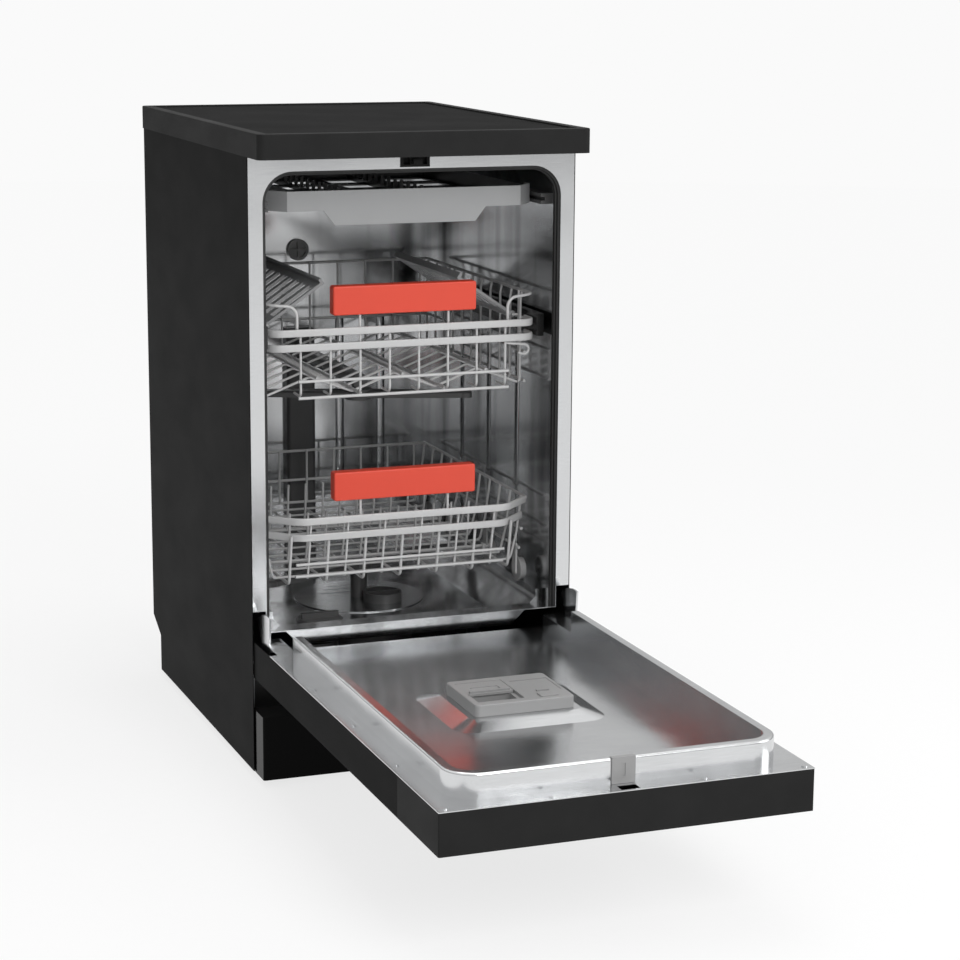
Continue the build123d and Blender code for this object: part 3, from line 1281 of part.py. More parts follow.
def front_bar(half, front, corner, top, rounded):
    """One flat front bar, its two corners chamfered or rounded, drawn in plan."""
    outer = rectangle((-half, half), (front, front + 2 * corner))
    within = half - BAR_THICK
    inner = rectangle((-within, within), (front + BAR_THICK, front + 2 * corner + 1))
    if rounded:
        outer = fillet(outer.vertices().group_by(Axis.Y)[0], corner)
        inner = fillet(inner.vertices().group_by(Axis.Y)[0], corner - BAR_THICK)
    else:
        slope = BAR_THICK * (1 - math.tan(math.pi / 8))
        outer = chamfer(outer.vertices().group_by(Axis.Y)[0], corner)
        inner = chamfer(inner.vertices().group_by(Axis.Y)[0], corner - slope)
    strip = along_z(outer - inner, top - BAR_TALL, top)
    behind = (front + corner, front + 3 * corner)
    return strip - block((-half - 1, half + 1), behind, (top - 2 * BAR_TALL, top + 1))


def make_lower_rack_ends():
    """The front grid with its two flat bars, and the back grid."""
    front = []
    for bar_top in (LOWER_TOP_Z, LOWER_TOP_Z - LOWER_BAR_STEP):
        middle = bar_top - BAR_TALL / 2
        face = lower_front(middle) - WIRE / 2 + WELD - BAR_THICK
        front.append(front_bar(lower_half(bar_top), face, LOWER_CORNER, bar_top, False))
    low = LOWER_BASE_Z + BACK_GRID_LIFT
    top = LOWER_TOP_Z - BAR_TALL / 2
    reach = LOWER_TOP_HALF - LOWER_CORNER
    for x in steps(10, -reach + 4, reach - 4):
        front.append(wire((x, lower_front(low), low), (x, lower_front(top), top)))
    y = lower_front(low) - WIRE + WELD
    front.append(wire((-reach, y, low), (reach, y, low)))
    for side in (-1, 1):
        x = side * HANDLE_HALF * POST_SHARE
        front.append(wire((x, lower_front(top), top - 6), (x, lower_front(top), LOWER_HANDLE_Z + POST_TALL)))
    back = []
    y = LOWER_BACK - WIRE
    low, middle, top = lower_side_levels()
    low += BACK_GRID_LIFT
    for z in (low, middle, top):
        half = lower_half(z) - WIRE - FIT_GAP
        back.append(wire((-half, y, z), (half, y, z)))
    reach = lower_half(low) - 2 * WIRE
    inner = y - WIRE + WELD
    for x in steps(9, -reach, reach):
        back.append(wire((x, inner, low), (x, inner, top)))
    return [weld(front), weld(back)]


def handle(front, low):
    """A rack's grip: a rounded bar, hollow behind, that sits over the rack's two posts."""
    face = rectangle((-HANDLE_HALF, HANDLE_HALF), (low, low + HANDLE_TALL), 3)
    bar = along_y(face, front, front + HANDLE_THICK)
    bar = fillet(bar.edges().group_by(Axis.Y)[0], 2.2)
    within = HANDLE_HALF - HANDLE_WALL
    hollow = rectangle((-within, within), (low + HANDLE_WALL, low + HANDLE_TALL - HANDLE_WALL), 1.5)
    return bar - along_y(hollow, front + HANDLE_WALL, front + HANDLE_THICK + 1)


def post_slots(y, low):
    """The two slots in a handle's lower wall that take the rack's posts."""
    half = WIRE / 2 + FIT_GAP
    cuts = []
    for side in (-1, 1):
        x = side * HANDLE_HALF * POST_SHARE
        across = (x - half, x + half)
        cuts.append(block(across, (y - half, y + half + 20), (low - 1, low + HANDLE_WALL + 1)))
    return cuts


def make_lower_rack_handle():
    """The orange grip of the lower rack."""
    y = lower_front(LOWER_TOP_Z - BAR_TALL / 2)
    return [handle(RACK_FRONT, LOWER_HANDLE_Z).cut(*post_slots(y, LOWER_HANDLE_Z))]


def make_lower_wheels(setback):
    """One left and right pair of rack wheels: treads with a sunk face, and their flange discs."""
    y = RACK_FRONT + setback
    x = WHEEL_INNER_X
    tread_x = x + WHEEL_FLANGE_WIDTH
    bore = rod((x - 1, y, WHEEL_Z), (wheel_outer() + 1, y, WHEEL_Z), AXLE_RADIUS + AXLE_CLEARANCE)
    ends = [(wheel_outer() + shift, y, WHEEL_Z) for shift in (-WHEEL_RECESS, 1)]
    ring = rod(*ends, WHEEL_RADIUS - WHEEL_RECESS) - rod(*ends, AXLE_RADIUS + WHEEL_RECESS)
    flange = rod((x, y, WHEEL_Z), (tread_x, y, WHEEL_Z), WHEEL_FLANGE_RADIUS) - bore
    tread = rod((tread_x, y, WHEEL_Z), (wheel_outer(), y, WHEEL_Z), WHEEL_RADIUS) - ring - bore
    return mirrored(flange) + mirrored(tread)


def tine_rod_z():
    """The height of a tine row's rod, just above the floor grid."""
    return LOWER_BASE_Z + WIRE - WELD + WIRE / 2 + MOVING_GAP + WIRE / 2


def make_lower_tines(setback):
    """One folding row of plate tines on its cross rod."""
    y = RACK_FRONT + setback
    z = tine_rod_z()
    half = TINE_PITCH * (TINE_COUNT - 1) / 2
    lean = math.radians(TINE_LEAN)
    tip_y = y - TINE_TALL * math.sin(lean)
    tip_z = z + TINE_TALL * math.cos(lean)
    reach = lower_floor_lines()[-1] + WIRE
    bars = [rod((-reach, y, z), (reach, y, z), WIRE / 2)]
    for x in steps(TINE_COUNT, -half, half):
        bars.append(wire((x, y, z), (x, tip_y, tip_z), TINE_WIRE))
    return [weld(bars)]


def spray_arm(reach, low, hub_bore, bore_from, bore_to):
    """A two-bladed spray arm about the upright axis through the sump, with nozzle holes."""
    blade = make_face(
        Polyline((-reach + 14, -9), (-SPRAY_HUB_RADIUS, -15), (SPRAY_HUB_RADIUS, -15), (reach - 14, -9))
        + ThreePointArc((reach - 14, -9), (reach, 0), (reach - 14, 9))
        + Polyline((reach - 14, 9), (SPRAY_HUB_RADIUS, 15), (-SPRAY_HUB_RADIUS, 15), (-reach + 14, 9))
        + ThreePointArc((-reach + 14, 9), (-reach, 0), (-reach + 14, -9))
    )
    middle = low + SPRAY_HUB_HEIGHT / 2
    arm = along_z(blade, middle - SPRAY_BLADE_THICK / 2, middle + SPRAY_BLADE_THICK / 2)
    arm = chamfer(arm.edges().group_by(Axis.Z)[-1], 2.5)
    arm += along_z(Circle(SPRAY_HUB_RADIUS), low, low + SPRAY_HUB_HEIGHT)
    arm -= along_z(Circle(hub_bore), bore_from, bore_to)
    for k in (1, 2, 3):
        for side in (-1, 1):
            arm -= Pos(side * (30 + k * 38), side * 3, 0) * along_z(Rectangle(7, 2.4), middle, low + 20)
    return Pos(0, SUMP_Y, 0) * arm


def make_lower_spray_arm():
    """The lower spray arm, turning on the sump's spigot."""
    arm = spray_arm(
        LOWER_ARM_REACH,
        LOWER_ARM_Z,
        ARM_SPIGOT_RADIUS + ROTOR_CLEARANCE,
        LOWER_ARM_Z - 1,
        LOWER_ARM_Z + ARM_SPIGOT_TALL + 1,
    )
    return [Pos(0, SUMP_Y, 0) * Rot(0, 0, 24) * Pos(0, -SUMP_Y, 0) * arm]


def make_upper_spray_arm():
    """The upper spray arm, hanging from the feed tube's spigot."""
    top = UPPER_ARM_Z + SPRAY_HUB_HEIGHT
    arm = spray_arm(
        UPPER_ARM_REACH,
        UPPER_ARM_Z,
        ARM_SPIGOT_RADIUS + ROTOR_CLEARANCE,
        top - ARM_SPIGOT_TALL - 1,
        top + 1,
    )
    return [Pos(0, SUMP_Y, 0) * Rot(0, 0, -20) * Pos(0, -SUMP_Y, 0) * arm]


def make_upper_feed_tube():
    """The water tube under the upper rack, from the duct's port to the arm."""
    back = TUB_BACK - DUCT_DEPTH - FIT_GAP
    tube = rod((0, SUMP_Y - 12, FEED_Z), (0, back, FEED_Z), FEED_RADIUS)
    tube += rod((0, back - 10, FEED_Z), (0, back, FEED_Z), FEED_RADIUS + 3)
    spigot_low = UPPER_ARM_Z + SPRAY_HUB_HEIGHT - ARM_SPIGOT_TALL
    tube += rod((0, SUMP_Y, FEED_Z), (0, SUMP_Y, spigot_low), ARM_SPIGOT_RADIUS)
    tube -= rod((0, SUMP_Y, FEED_Z), (0, back + 1, FEED_Z), FEED_RADIUS - FEED_WALL)
    return [tube]


def upper_floor_half():
    """Half the width of the upper rack's floor wires, between the side uprights."""
    return UPPER_HALF - 2.5 * WIRE + WELD - FIT_GAP


def zigzag(y):
    """One cross wire of the upper rack's floor, bent up and down to seat cups and glasses."""
    half = upper_floor_half()
    low = UPPER_BASE_Z - WIRE / 2
    points = []
    for k, x in enumerate(steps(FLOOR_LINES, -half, half)):
        points.append((x, low + (FLOOR_LIFT if k % 2 else 0.0)))
    return along_y(trace(Polyline(*points), WIRE), y - WIRE / 2, y + WIRE / 2)


def make_upper_rack_floor():
    """The upper rack's floor: bent cross wires held by long wires along their bends."""
    front = RACK_FRONT + BAR_THICK + 2 * WIRE
    back = UPPER_BACK - 3 * WIRE - FIT_GAP
    bars = [zigzag(y) for y in upright_places(UPPER_CORNER, UPPER_BACK)]
    half = upper_floor_half()
    for k, x in enumerate(steps(FLOOR_LINES, -half, half)[1:-1]):
        z = UPPER_BASE_Z + WIRE / 2 - WELD + (0.0 if k % 2 else FLOOR_LIFT)
        bars.append(wire((x, front, z), (x, back, z)))
    return [weld(bars)]


def upper_side_levels():
    """The heights of the long wires of the upper rack's sides."""
    return (UPPER_BASE_Z, UPPER_BASE_Z + UPPER_MIDDLE_RISE, UPPER_SIDE_TOP_Z - WIRE / 2)


def make_upper_rack_sides():
    """The side grids, each with the rod on which a cup shelf turns."""
    x = UPPER_HALF - WIRE / 2
    front = RACK_FRONT + UPPER_CORNER + WIRE / 2
    back = UPPER_BACK - WIRE / 2
    levels = upper_side_levels()
    low = levels[0]
    top = levels[-1]
    beside_bar = UPPER_BAR_Z - BAR_TALL / 2
    bars = [wire((x, front, z), (x, back, z)) for z in (*levels, beside_bar)]
    inner = x - WIRE + WELD
    for y in upright_places(UPPER_CORNER, UPPER_BACK):
        bars.append(wire((inner, y, low), (inner, y, top)))
    rod_front = SHELF_FRONT
    rod_back = SHELF_FRONT + SHELF_LENGTH + 4
    ends = [(SHELF_PIVOT_X, y, SHELF_PIVOT_Z) for y in (rod_front, rod_back)]
    bars.append(rod(*ends, SHELF_ROD_RADIUS))
    for y in (rod_front, rod_back):
        bars.append(wire((SHELF_PIVOT_X, y, SHELF_PIVOT_Z), (x, y, SHELF_PIVOT_Z), WIRE + 0.4))
        bars.append(wire((inner, y, low), (inner, y, top)))
    return mirrored(weld(bars))


def make_upper_rack_ends():
    """The front grid with its two rounded bars, and the back grid."""
    front = [
        front_bar(UPPER_HALF, RACK_FRONT, UPPER_CORNER, bar_top, True)
        for bar_top in (UPPER_BAR_Z, UPPER_BAR_Z - UPPER_BAR_STEP)
    ]
    y = RACK_FRONT + BAR_THICK + WIRE / 2 - WELD
    low = UPPER_BASE_Z
    top = UPPER_BAR_Z - BAR_TALL / 2
    reach = UPPER_HALF - UPPER_CORNER
    for x in steps(8, -reach + 4, reach - 4):
        front.append(wire((x, y, low), (x, y, top)))
    front.append(wire((-reach, y - WIRE + WELD, low), (reach, y - WIRE + WELD, low)))
    for side in (-1, 1):
        x = side * HANDLE_HALF * POST_SHARE
        front.append(wire((x, y, top - 6), (x, y, UPPER_HANDLE_Z + POST_TALL)))
    back = []
    y = UPPER_BACK - WIRE
    half = UPPER_HALF - 1.5 * WIRE - FIT_GAP
    low, middle, top = upper_side_levels()
    for z in (low, middle, top):
        back.append(wire((-half, y, z), (half, y, z)))
    inner = y - WIRE + WELD
    for x in steps(9, -half + 2 * WIRE, half - 2 * WIRE):
        back.append(wire((x, inner, low), (x, inner, top)))
    return [weld(front), weld(back)]


def make_upper_rack_handle():
    """The orange grip of the upper rack."""
    y = RACK_FRONT + BAR_THICK + WIRE / 2 - WELD
    return [handle(RACK_FRONT, UPPER_HANDLE_Z).cut(*post_slots(y, UPPER_HANDLE_Z))]


def make_cup_shelf(side):
    """One folding cup shelf: a slotted plate with a barrel that turns on the side grid's rod."""
    y0 = SHELF_FRONT + 5
    y1 = SHELF_FRONT + SHELF_LENGTH - 1
    plate = block((3, SHELF_WIDTH), (y0, y1), (-SHELF_THICK / 2, SHELF_THICK / 2))
    lip = block((SHELF_WIDTH - SHELF_THICK, SHELF_WIDTH), (y0, y1), (-SHELF_THICK / 2, SHELF_LIP))
    pitch = (y1 - y0) / SHELF_SLOTS
    slots = [
        block((16, SHELF_WIDTH - 14), (y0 + pitch * k + 6, y0 + pitch * (k + 1) - 6), (-9, 9))
        for k in range(SHELF_SLOTS)
    ]
    barrel = rod((0, y0, 0), (0, y1, 0), SHELF_BARREL_RADIUS)
    shelf = (plate + lip + barrel).cut(*slots)
    shelf -= rod((0, y0 - 1, 0), (0, y1 + 1, 0), SHELF_ROD_RADIUS + SHELF_ROD_CLEARANCE)
    shelf = Rot(0, -SHELF_TILT, 0) * shelf
    left = Pos(-SHELF_PIVOT_X, 0, SHELF_PIVOT_Z) * shelf
    return [left if side < 0 else mirror(left, about=Plane.YZ)]


def tray_outline(inset):
    """The cutlery fascia's plan: straight in the middle, swept back at both ends."""
    front = RACK_FRONT + inset
    turn = RACK_FRONT + TRAY_RETURN + inset / 2
    back = RACK_FRONT + TRAY_RETURN + 14
    half = TRAY_HALF - inset
    straight = TRAY_STRAIGHT_HALF - inset / 2
    return polygon(
        (-half, back), (-half, turn), (-straight, front), (straight, front), (half, turn), (half, back)
    )


def make_tray_fascia():
    """The cutlery tray's grey front, with its lowered grip in the middle."""
    wall = along_z(tray_outline(0), TRAY_DIP_Z, TRAY_TOP_Z)
    wall -= along_z(tray_outline(TRAY_WALL), TRAY_DIP_Z - 1, TRAY_TOP_Z + 1)
    dip_top = TRAY_DIP_HALF + TRAY_DIP_SLOPE
    front_view = polygon(
        (-TRAY_HALF - 1, TRAY_TOP_Z), (TRAY_HALF + 1, TRAY_TOP_Z), (TRAY_HALF + 1, TRAY_SIDE_Z),
        (dip_top, TRAY_SIDE_Z), (TRAY_DIP_HALF, TRAY_DIP_Z), (-TRAY_DIP_HALF, TRAY_DIP_Z),
        (-dip_top, TRAY_SIDE_Z), (-TRAY_HALF - 1, TRAY_SIDE_Z),
    )
    return [wall & along_y(front_view, RACK_FRONT - 1, RACK_FRONT + TRAY_RETURN + 20)]


def make_tray_basket():
    """The cutlery tray: slotted floor, side flanges for the rails and two rows of comb teeth."""
    front = RACK_FRONT + TRAY_WALL + FIT_GAP
    back = TRAY_BACK
    half = TRAY_BODY_HALF
    skin = TRAY_SKIN
    nose = TRAY_STRAIGHT_HALF - 8
    turn = front + TRAY_RETURN + 4
    outline = polygon((-nose, front), (nose, front), (half, turn), (half, back), (-half, back), (-half, turn))
    inside = polygon(
        (-nose + skin, front + skin), (nose - skin, front + skin), (half - skin, turn + skin / 2),
        (half - skin, back - skin), (-half + skin, back - skin), (-half + skin, turn + skin / 2),
    )
    low = TRAY_SIDE_Z
    tray = along_z(outline, low, TRAY_TOP_Z - 2) - along_z(inside, low + skin, TRAY_TOP_Z)
    flange = block(
        (half - 1, TRAY_RAIL_INNER + TRAY_RAIL_SLOT - 1),
        (RACK_FRONT + TRAY_RETURN + 18, back),
        (TRAY_RAIL_Z - TRAY_FLANGE / 2, TRAY_RAIL_Z + TRAY_FLANGE / 2),
    )
    tray = tray.fuse(*mirrored(flange))
    slots = []
    for x in steps(4, -half + 44, half - 44):
        for y in steps(5, turn + 40, back - 45):
            slots.append(block((x - 32, x + 32), (y - 24, y + 24), (low - 1, low + 3)))
    tray = tray.cut(*slots)
    teeth = []
    for x in (-half / 3, half / 3):
        across = (x - COMB_HALF, x + COMB_HALF)
        teeth.append(block(across, (turn, back - 1), (low, low + 6)))
        for y in steps(COMB_TEETH, turn + 14, back - 20):
            teeth.append(block(across, (y - COMB_HALF, y + COMB_HALF), (low + 5, low + COMB_TALL)))
    return [tray.fuse(*teeth)]


PIECES = {
    "worktop_frame": make_worktop_frame,
    "worktop_panel": make_worktop_panel,
    "side_panel_left": lambda: [mirror(make_side_panel(), about=Plane.YZ)],
    "side_panel_right": lambda: [make_side_panel()],
    "back_panel": make_back_panel,
    "base_tray": make_base_tray,
    "levelling_feet": make_levelling_feet,
    "kickplate": make_kickplate,
    "front_frame": make_front_frame,
    "latch_catch": make_latch_catch,
    "tub": make_tub,
    "tub_gasket": make_tub_gasket,
    "hinge_brackets": make_hinge_brackets,
    "sump": make_sump,
    "fine_filter_plate": make_fine_filter_plate,
    "coarse_filter": make_coarse_filter,
    "salt_cap": make_salt_cap,
    "water_softener": make_water_softener,
    "circulation_pump": make_circulation_pump,
    "inlet_valve": make_inlet_valve,
    "feed_duct": make_feed_duct,
    "vent_cap": make_vent_cap,
    "upper_rail_outers": make_upper_rail_outers,
    "tray_rails": make_tray_rails,
    "door_outer_panel": make_door_outer_panel,
    "control_panel": make_control_panel,
    "display_window": make_display_window,
    "power_button": lambda: make_button(BUTTON_XS[0]),
    "programme_button": lambda: make_button(BUTTON_XS[1]),
    "start_button": lambda: make_button(BUTTON_XS[2]),
    "door_inner_liner": make_door_inner_liner,
    "door_screws": make_door_screws,
    "latch_striker": make_latch_striker,
    "hinge_arms": make_hinge_arms,
    "dispenser_housing": make_dispenser_housing,
    "detergent_lid": make_detergent_lid,
    "rinse_aid_lid": make_rinse_aid_lid,
    "dispenser_button": make_dispenser_button,
    "lower_rack_floor": make_lower_rack_floor,
    "lower_rack_sides": make_lower_rack_sides,
    "lower_rack_ends": make_lower_rack_ends,
    "lower_rack_handle": make_lower_rack_handle,
    "lower_wheels_first": lambda: make_lower_wheels(WHEEL_SETBACKS[0]),
    "lower_wheels_second": lambda: make_lower_wheels(WHEEL_SETBACKS[1]),
    "lower_wheels_third": lambda: make_lower_wheels(WHEEL_SETBACKS[2]),
    "lower_wheels_fourth": lambda: make_lower_wheels(WHEEL_SETBACKS[3]),
    "front_tine_row": lambda: make_lower_tines(TINE_SETBACKS[0]),
    "rear_tine_row": lambda: make_lower_tines(TINE_SETBACKS[1]),
    "lower_spray_arm": make_lower_spray_arm,
    "upper_rack_floor": make_upper_rack_floor,
    "upper_rack_sides": make_upper_rack_sides,
    "upper_rack_ends": make_upper_rack_ends,
    "upper_rack_handle": make_upper_rack_handle,
    "upper_rail_slides": make_upper_rail_slides,
    "cup_shelf_left": lambda: make_cup_shelf(-1),
    "cup_shelf_right": lambda: make_cup_shelf(1),
    "upper_feed_tube": make_upper_feed_tube,
    "upper_spray_arm": make_upper_spray_arm,
    "cutlery_tray_fascia": make_tray_fascia,
    "cutlery_tray_basket": make_tray_basket,
}


def main():
    """Build every piece, move it to the shared origin and write it."""
    for name, make in PIECES.items():
        solids = []
        for piece in make():
            solids += (Pos(0, SHIFT_Y, 0) * piece).solids()
        shape = solids[0] if len(solids) == 1 else Compound(children=solids)
        export_step(shape, f"parts/{name}.step")
        print(name, len(solids), round(sum(solid.volume for solid in solids)))


main()
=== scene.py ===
import json
import logging
import math
from dataclasses import dataclass
from enum import Enum

import bmesh
import bpy
from mathutils import Matrix, Vector


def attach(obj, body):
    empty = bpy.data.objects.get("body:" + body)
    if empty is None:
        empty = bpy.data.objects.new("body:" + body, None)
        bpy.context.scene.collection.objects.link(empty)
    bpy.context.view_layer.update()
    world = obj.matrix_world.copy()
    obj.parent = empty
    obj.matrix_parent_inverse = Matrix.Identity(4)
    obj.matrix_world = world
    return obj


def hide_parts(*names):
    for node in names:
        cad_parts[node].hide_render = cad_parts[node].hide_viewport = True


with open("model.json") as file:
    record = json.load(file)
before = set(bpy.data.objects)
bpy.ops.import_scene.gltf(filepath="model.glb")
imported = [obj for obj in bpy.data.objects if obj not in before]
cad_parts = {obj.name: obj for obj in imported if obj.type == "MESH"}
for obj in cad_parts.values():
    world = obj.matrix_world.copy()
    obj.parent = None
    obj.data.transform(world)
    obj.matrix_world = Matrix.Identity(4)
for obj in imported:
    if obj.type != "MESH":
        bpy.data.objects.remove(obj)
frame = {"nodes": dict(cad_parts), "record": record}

LOG = logging.getLogger("dishwasher")

Point = tuple[float, float, float]
Path = list[Point]
Outline = list[tuple[float, float]]
Colour = tuple[float, float, float, float]

UPWARDS = Vector((0.0, 0.0, 1.0))
BACKWARDS = Vector((0.0, 1.0, 0.0))

# A Mix node's sockets share their names across kinds of data, so its colour sockets go by number.
MIX_SHARE = 0
MIX_FIRST = 6
MIX_SECOND = 7
MIX_COLOUR = 2

# Each noise is its blobs in a metre and its finer layers, and for one the stretch along each axis.
CLOUDS = (26.0, 4.0)
RUBBED = (9.0, 6.0, (1.0, 1.0, 2.2))
SOFT_WAVES = (7.0, 1.0)
SMEARS = (13.0, 5.0)
SPECKLE = (60.0, 3.0)

COATING = "wire_coating"
# Faces that meet at more than this many degrees keep a sharp edge.
WHEEL_CREASE = 38.0
BAR_CREASE = 60.0
# A corner straighter than this isn't rounded, and a bend takes up to this share of each side.
STRAIGHT = math.radians(178.0)
BEND_SHARE = 0.49
# A mitre stretches the outline by the inverse of this at most.
SHARPEST_MITRE = 0.3
# An axle pin's distances along its axis and from it.
PIN_PROFILE = [(0.0, 0.0005), (0.0, 0.003), (0.0129, 0.003), (0.0137, 0.0022), (0.0137, 0.0005)]


class Value:
    """One number, vector or colour in a shader tree, with arithmetic that adds its own nodes."""

    def __init__(self, net: "Net", socket: bpy.types.NodeSocket) -> None:
        """Wrap an output socket of a shader tree."""
        self.net = net
        self.socket = socket

    def __add__(self, other: "Value | float") -> "Value":
        """The sum of two values."""
        return self.net.math("ADD", self, other)

    def __radd__(self, other: float) -> "Value":
        """The sum of a number and a value."""
        return self.net.math("ADD", other, self)

    def __sub__(self, other: "Value | float") -> "Value":
        """The difference of two values."""
        return self.net.math("SUBTRACT", self, other)

    def __mul__(self, other: "Value | float") -> "Value":
        """The product of two values."""
        return self.net.math("MULTIPLY", self, other)


class Net:
    """The shader tree of a material or of the surroundings, filled by expressions."""

    def __init__(self, owner: "bpy.types.Material | bpy.types.World") -> None:
        """Empty the tree.

        Args:
            owner: What the tree belongs to.
        """
        owner.use_nodes = True
        self.tree = owner.node_tree
        self.tree.nodes.clear()
        self.coordinates = self.value("ShaderNodeTexCoord", output="Object")

    def node(self, kind: str, settings: dict | None = None, inputs: dict | None = None) -> bpy.types.Node:
        """Add one node.

        Args:
            kind: The node's type name.
            settings: Its properties, which are set first.
            inputs: Values or links for its sockets, by name or index.

        Returns:
            The new node.
        """
        made = self.tree.nodes.new(kind)
        for key, setting in (settings or {}).items():
            setattr(made, key, setting)
        for key, given in (inputs or {}).items():
            self.feed(made.inputs[key], given)
        return made

    def value(
        self, kind: str, settings: dict | None = None, inputs: dict | None = None, output: str | int = 0
    ) -> Value:
        """Add one node and wrap one of its outputs, by name or index."""
        return Value(self, self.node(kind, settings, inputs).outputs[output])

    def feed(self, socket: bpy.types.NodeSocket, given: "Value | float | tuple") -> None:
        """Set a socket to a constant, or link a value to it.

        Args:
            socket: The input socket.
            given: A constant or a wrapped output.
        """
        if isinstance(given, Value):
            self.tree.links.new(given.socket, socket)
        else:
            socket.default_value = given

    def math(self, operation: str, a: "Value | float", b: "Value | float") -> Value:
        """The result of an operation on two inputs."""
        return self.value("ShaderNodeMath", {"operation": operation}, {0: a, 1: b})

    def noise(self, scale: float, detail: float = 2.0, stretch: Point = (1.0, 1.0, 1.0)) -> Value:
        """Smooth noise from 0 to 1: its blobs in a metre, its finer layers and a factor on each axis."""
        where = self.value("ShaderNodeMapping", inputs={"Vector": self.coordinates, "Scale": stretch})
        return self.value("ShaderNodeTexNoise", inputs={"Vector": where, "Scale": scale, "Detail": detail})

    def between(self, share: Value, low: float, high: float) -> Value:
        """A value that runs from one number to another as the share runs from 0 to 1."""
        return low + share * (high - low)

    def blend(self, share: "Value | float", low: "Value | tuple", high: "Value | tuple") -> Value:
        """A colour that runs from one colour to another as the share runs from 0 to 1."""
        inputs = {MIX_SHARE: share, MIX_FIRST: low, MIX_SECOND: high}
        return self.value("ShaderNodeMix", {"data_type": "RGBA"}, inputs, MIX_COLOUR)

    def rays(self) -> list[Value]:
        """For rays from the camera, from a mirror and through glass, 1 where a ray is one and 0 elsewhere."""
        path = self.node("ShaderNodeLightPath")
        kinds = ("Camera", "Glossy", "Transmission")
        return [Value(self, path.outputs[f"Is {kind} Ray"]) for kind in kinds]

    def surface(self, inputs: dict, bumps: list[tuple[Value, float, float]]) -> None:
        """End a material's tree in one Principled shader.

        Args:
            inputs: Values for the shader's sockets, by name.
            bumps: Height, strength and depth in metres of each layer of relief.
        """
        relief = {}
        for height, strength, depth in bumps:
            sockets = {"Height": height, "Strength": strength, "Distance": depth}
            relief = {"Normal": self.value("ShaderNodeBump", inputs=sockets | relief)}
        shader = self.value("ShaderNodeBsdfPrincipled", inputs=inputs | relief)
        self.node("ShaderNodeOutputMaterial", inputs={"Surface": shader})


def grey(level: float, warmth: float = 0.0) -> Colour:
    """A linear grey of a brightness, with slightly more red than blue where its warmth is over 0."""
    return (level * (1.0 + warmth), level, level * (1.0 - warmth), 1.0)


class Grain(Enum):
    """The direction in which a metal sheet was rolled or brushed."""

    ALONG_X = (0.02, 1.0, 1.0)
    ALONG_Z = (1.0, 1.0, 0.02)


@dataclass(frozen=True)
class Plastic:
    """A moulded or painted finish: fine grain, slight mottling and uneven gloss."""

    name: str
    colour: Colour
    roughness: float = 0.42
    spread: float = 0.12
    mottle: float = 0.16
    grain_scale: float = 2600.0
    grain_depth: float = 0.00006
    wave_depth: float = 0.0
    coat: float = 0.0
    sheen: float = 0.5

    def material(self) -> bpy.types.Material:
        """Build the finish.

        Returns:
            The material.
        """
        material = bpy.data.materials.new(self.name)
        net = Net(material)
        rubbed = net.noise(*RUBBED)
        red, green, blue, _alpha = self.colour
        low = tuple(channel * (1.0 - self.mottle) for channel in (red, green, blue)) + (1.0,)
        high = tuple(channel * (1.0 + self.mottle) for channel in (red, green, blue)) + (1.0,)
        inputs = {
            "Base Color": net.blend(net.noise(*CLOUDS), low, high),
            "Roughness": net.between(rubbed, self.roughness - self.spread, self.roughness + self.spread),
            "Coat Weight": self.coat,
            "Specular IOR Level": self.sheen,
        }
        bumps = [(net.noise(self.grain_scale, 2.0), 0.5, self.grain_depth)]
        if self.wave_depth > 0.0:
            bumps.append((net.noise(*SOFT_WAVES), 1.0, self.wave_depth))
        net.surface(inputs, bumps)
        return material


@dataclass(frozen=True)
class Steel:
    """A bright rolled steel sheet: brushed lines, soft waves, faint smears and any painted reflection bands.
    """

    name: str
    grain: Grain
    level: float = 0.72
    roughness: float = 0.17
    spread: float = 0.1
    warmth: float = -0.012
    line_scale: float = 1400.0
    line_shade: tuple[float, float] = (0.85, 1.1)
    line_depth: float = 0.000012
    smear_shade: tuple[float, float] = (0.9, 1.06)
    wave_scale: float = 7.0
    wave_depth: float = 0.0012
    wave_stretch: Point = (1.0, 1.0, 1.0)
    # The size and strength of the dark and bright bands painted into the colour as reflections; 0 paints
    # none.
    painted_reflection_scale: float = 17.0
    painted_reflection_streaks: float = 0.0

    def material(self) -> bpy.types.Material:
        """Build the finish.

        Returns:
            The material.
        """
        material = bpy.data.materials.new(self.name)
        net = Net(material)
        lines = net.noise(self.line_scale, 3.0, self.grain.value)
        smears = net.noise(*SMEARS)
        shade = net.between(lines, *self.line_shade) * net.between(smears, *self.smear_shade)
        # Where set, dark and bright vertical bands are painted into the colour as reflections of the
        # surroundings.
        if self.painted_reflection_streaks > 0.0:
            painted_reflection_bands = net.noise(self.painted_reflection_scale, 2.0, self.wave_stretch)
            shade = shade * net.between(painted_reflection_bands, 1.0 - self.painted_reflection_streaks, 1.0 + self.painted_reflection_streaks)
        colour = net.blend(shade, grey(0.0), grey(self.level, self.warmth))
        inputs = {
            "Base Color": colour,
            "Metallic": 1.0,
            "Roughness": net.between(smears, self.roughness - self.spread / 2, self.roughness + self.spread),
        }
        bumps = [
            (lines, 0.6, self.line_depth),
            (net.noise(self.wave_scale, 1.0, self.wave_stretch), 1.0, self.wave_depth),
        ]
        net.surface(inputs, bumps)
        return material


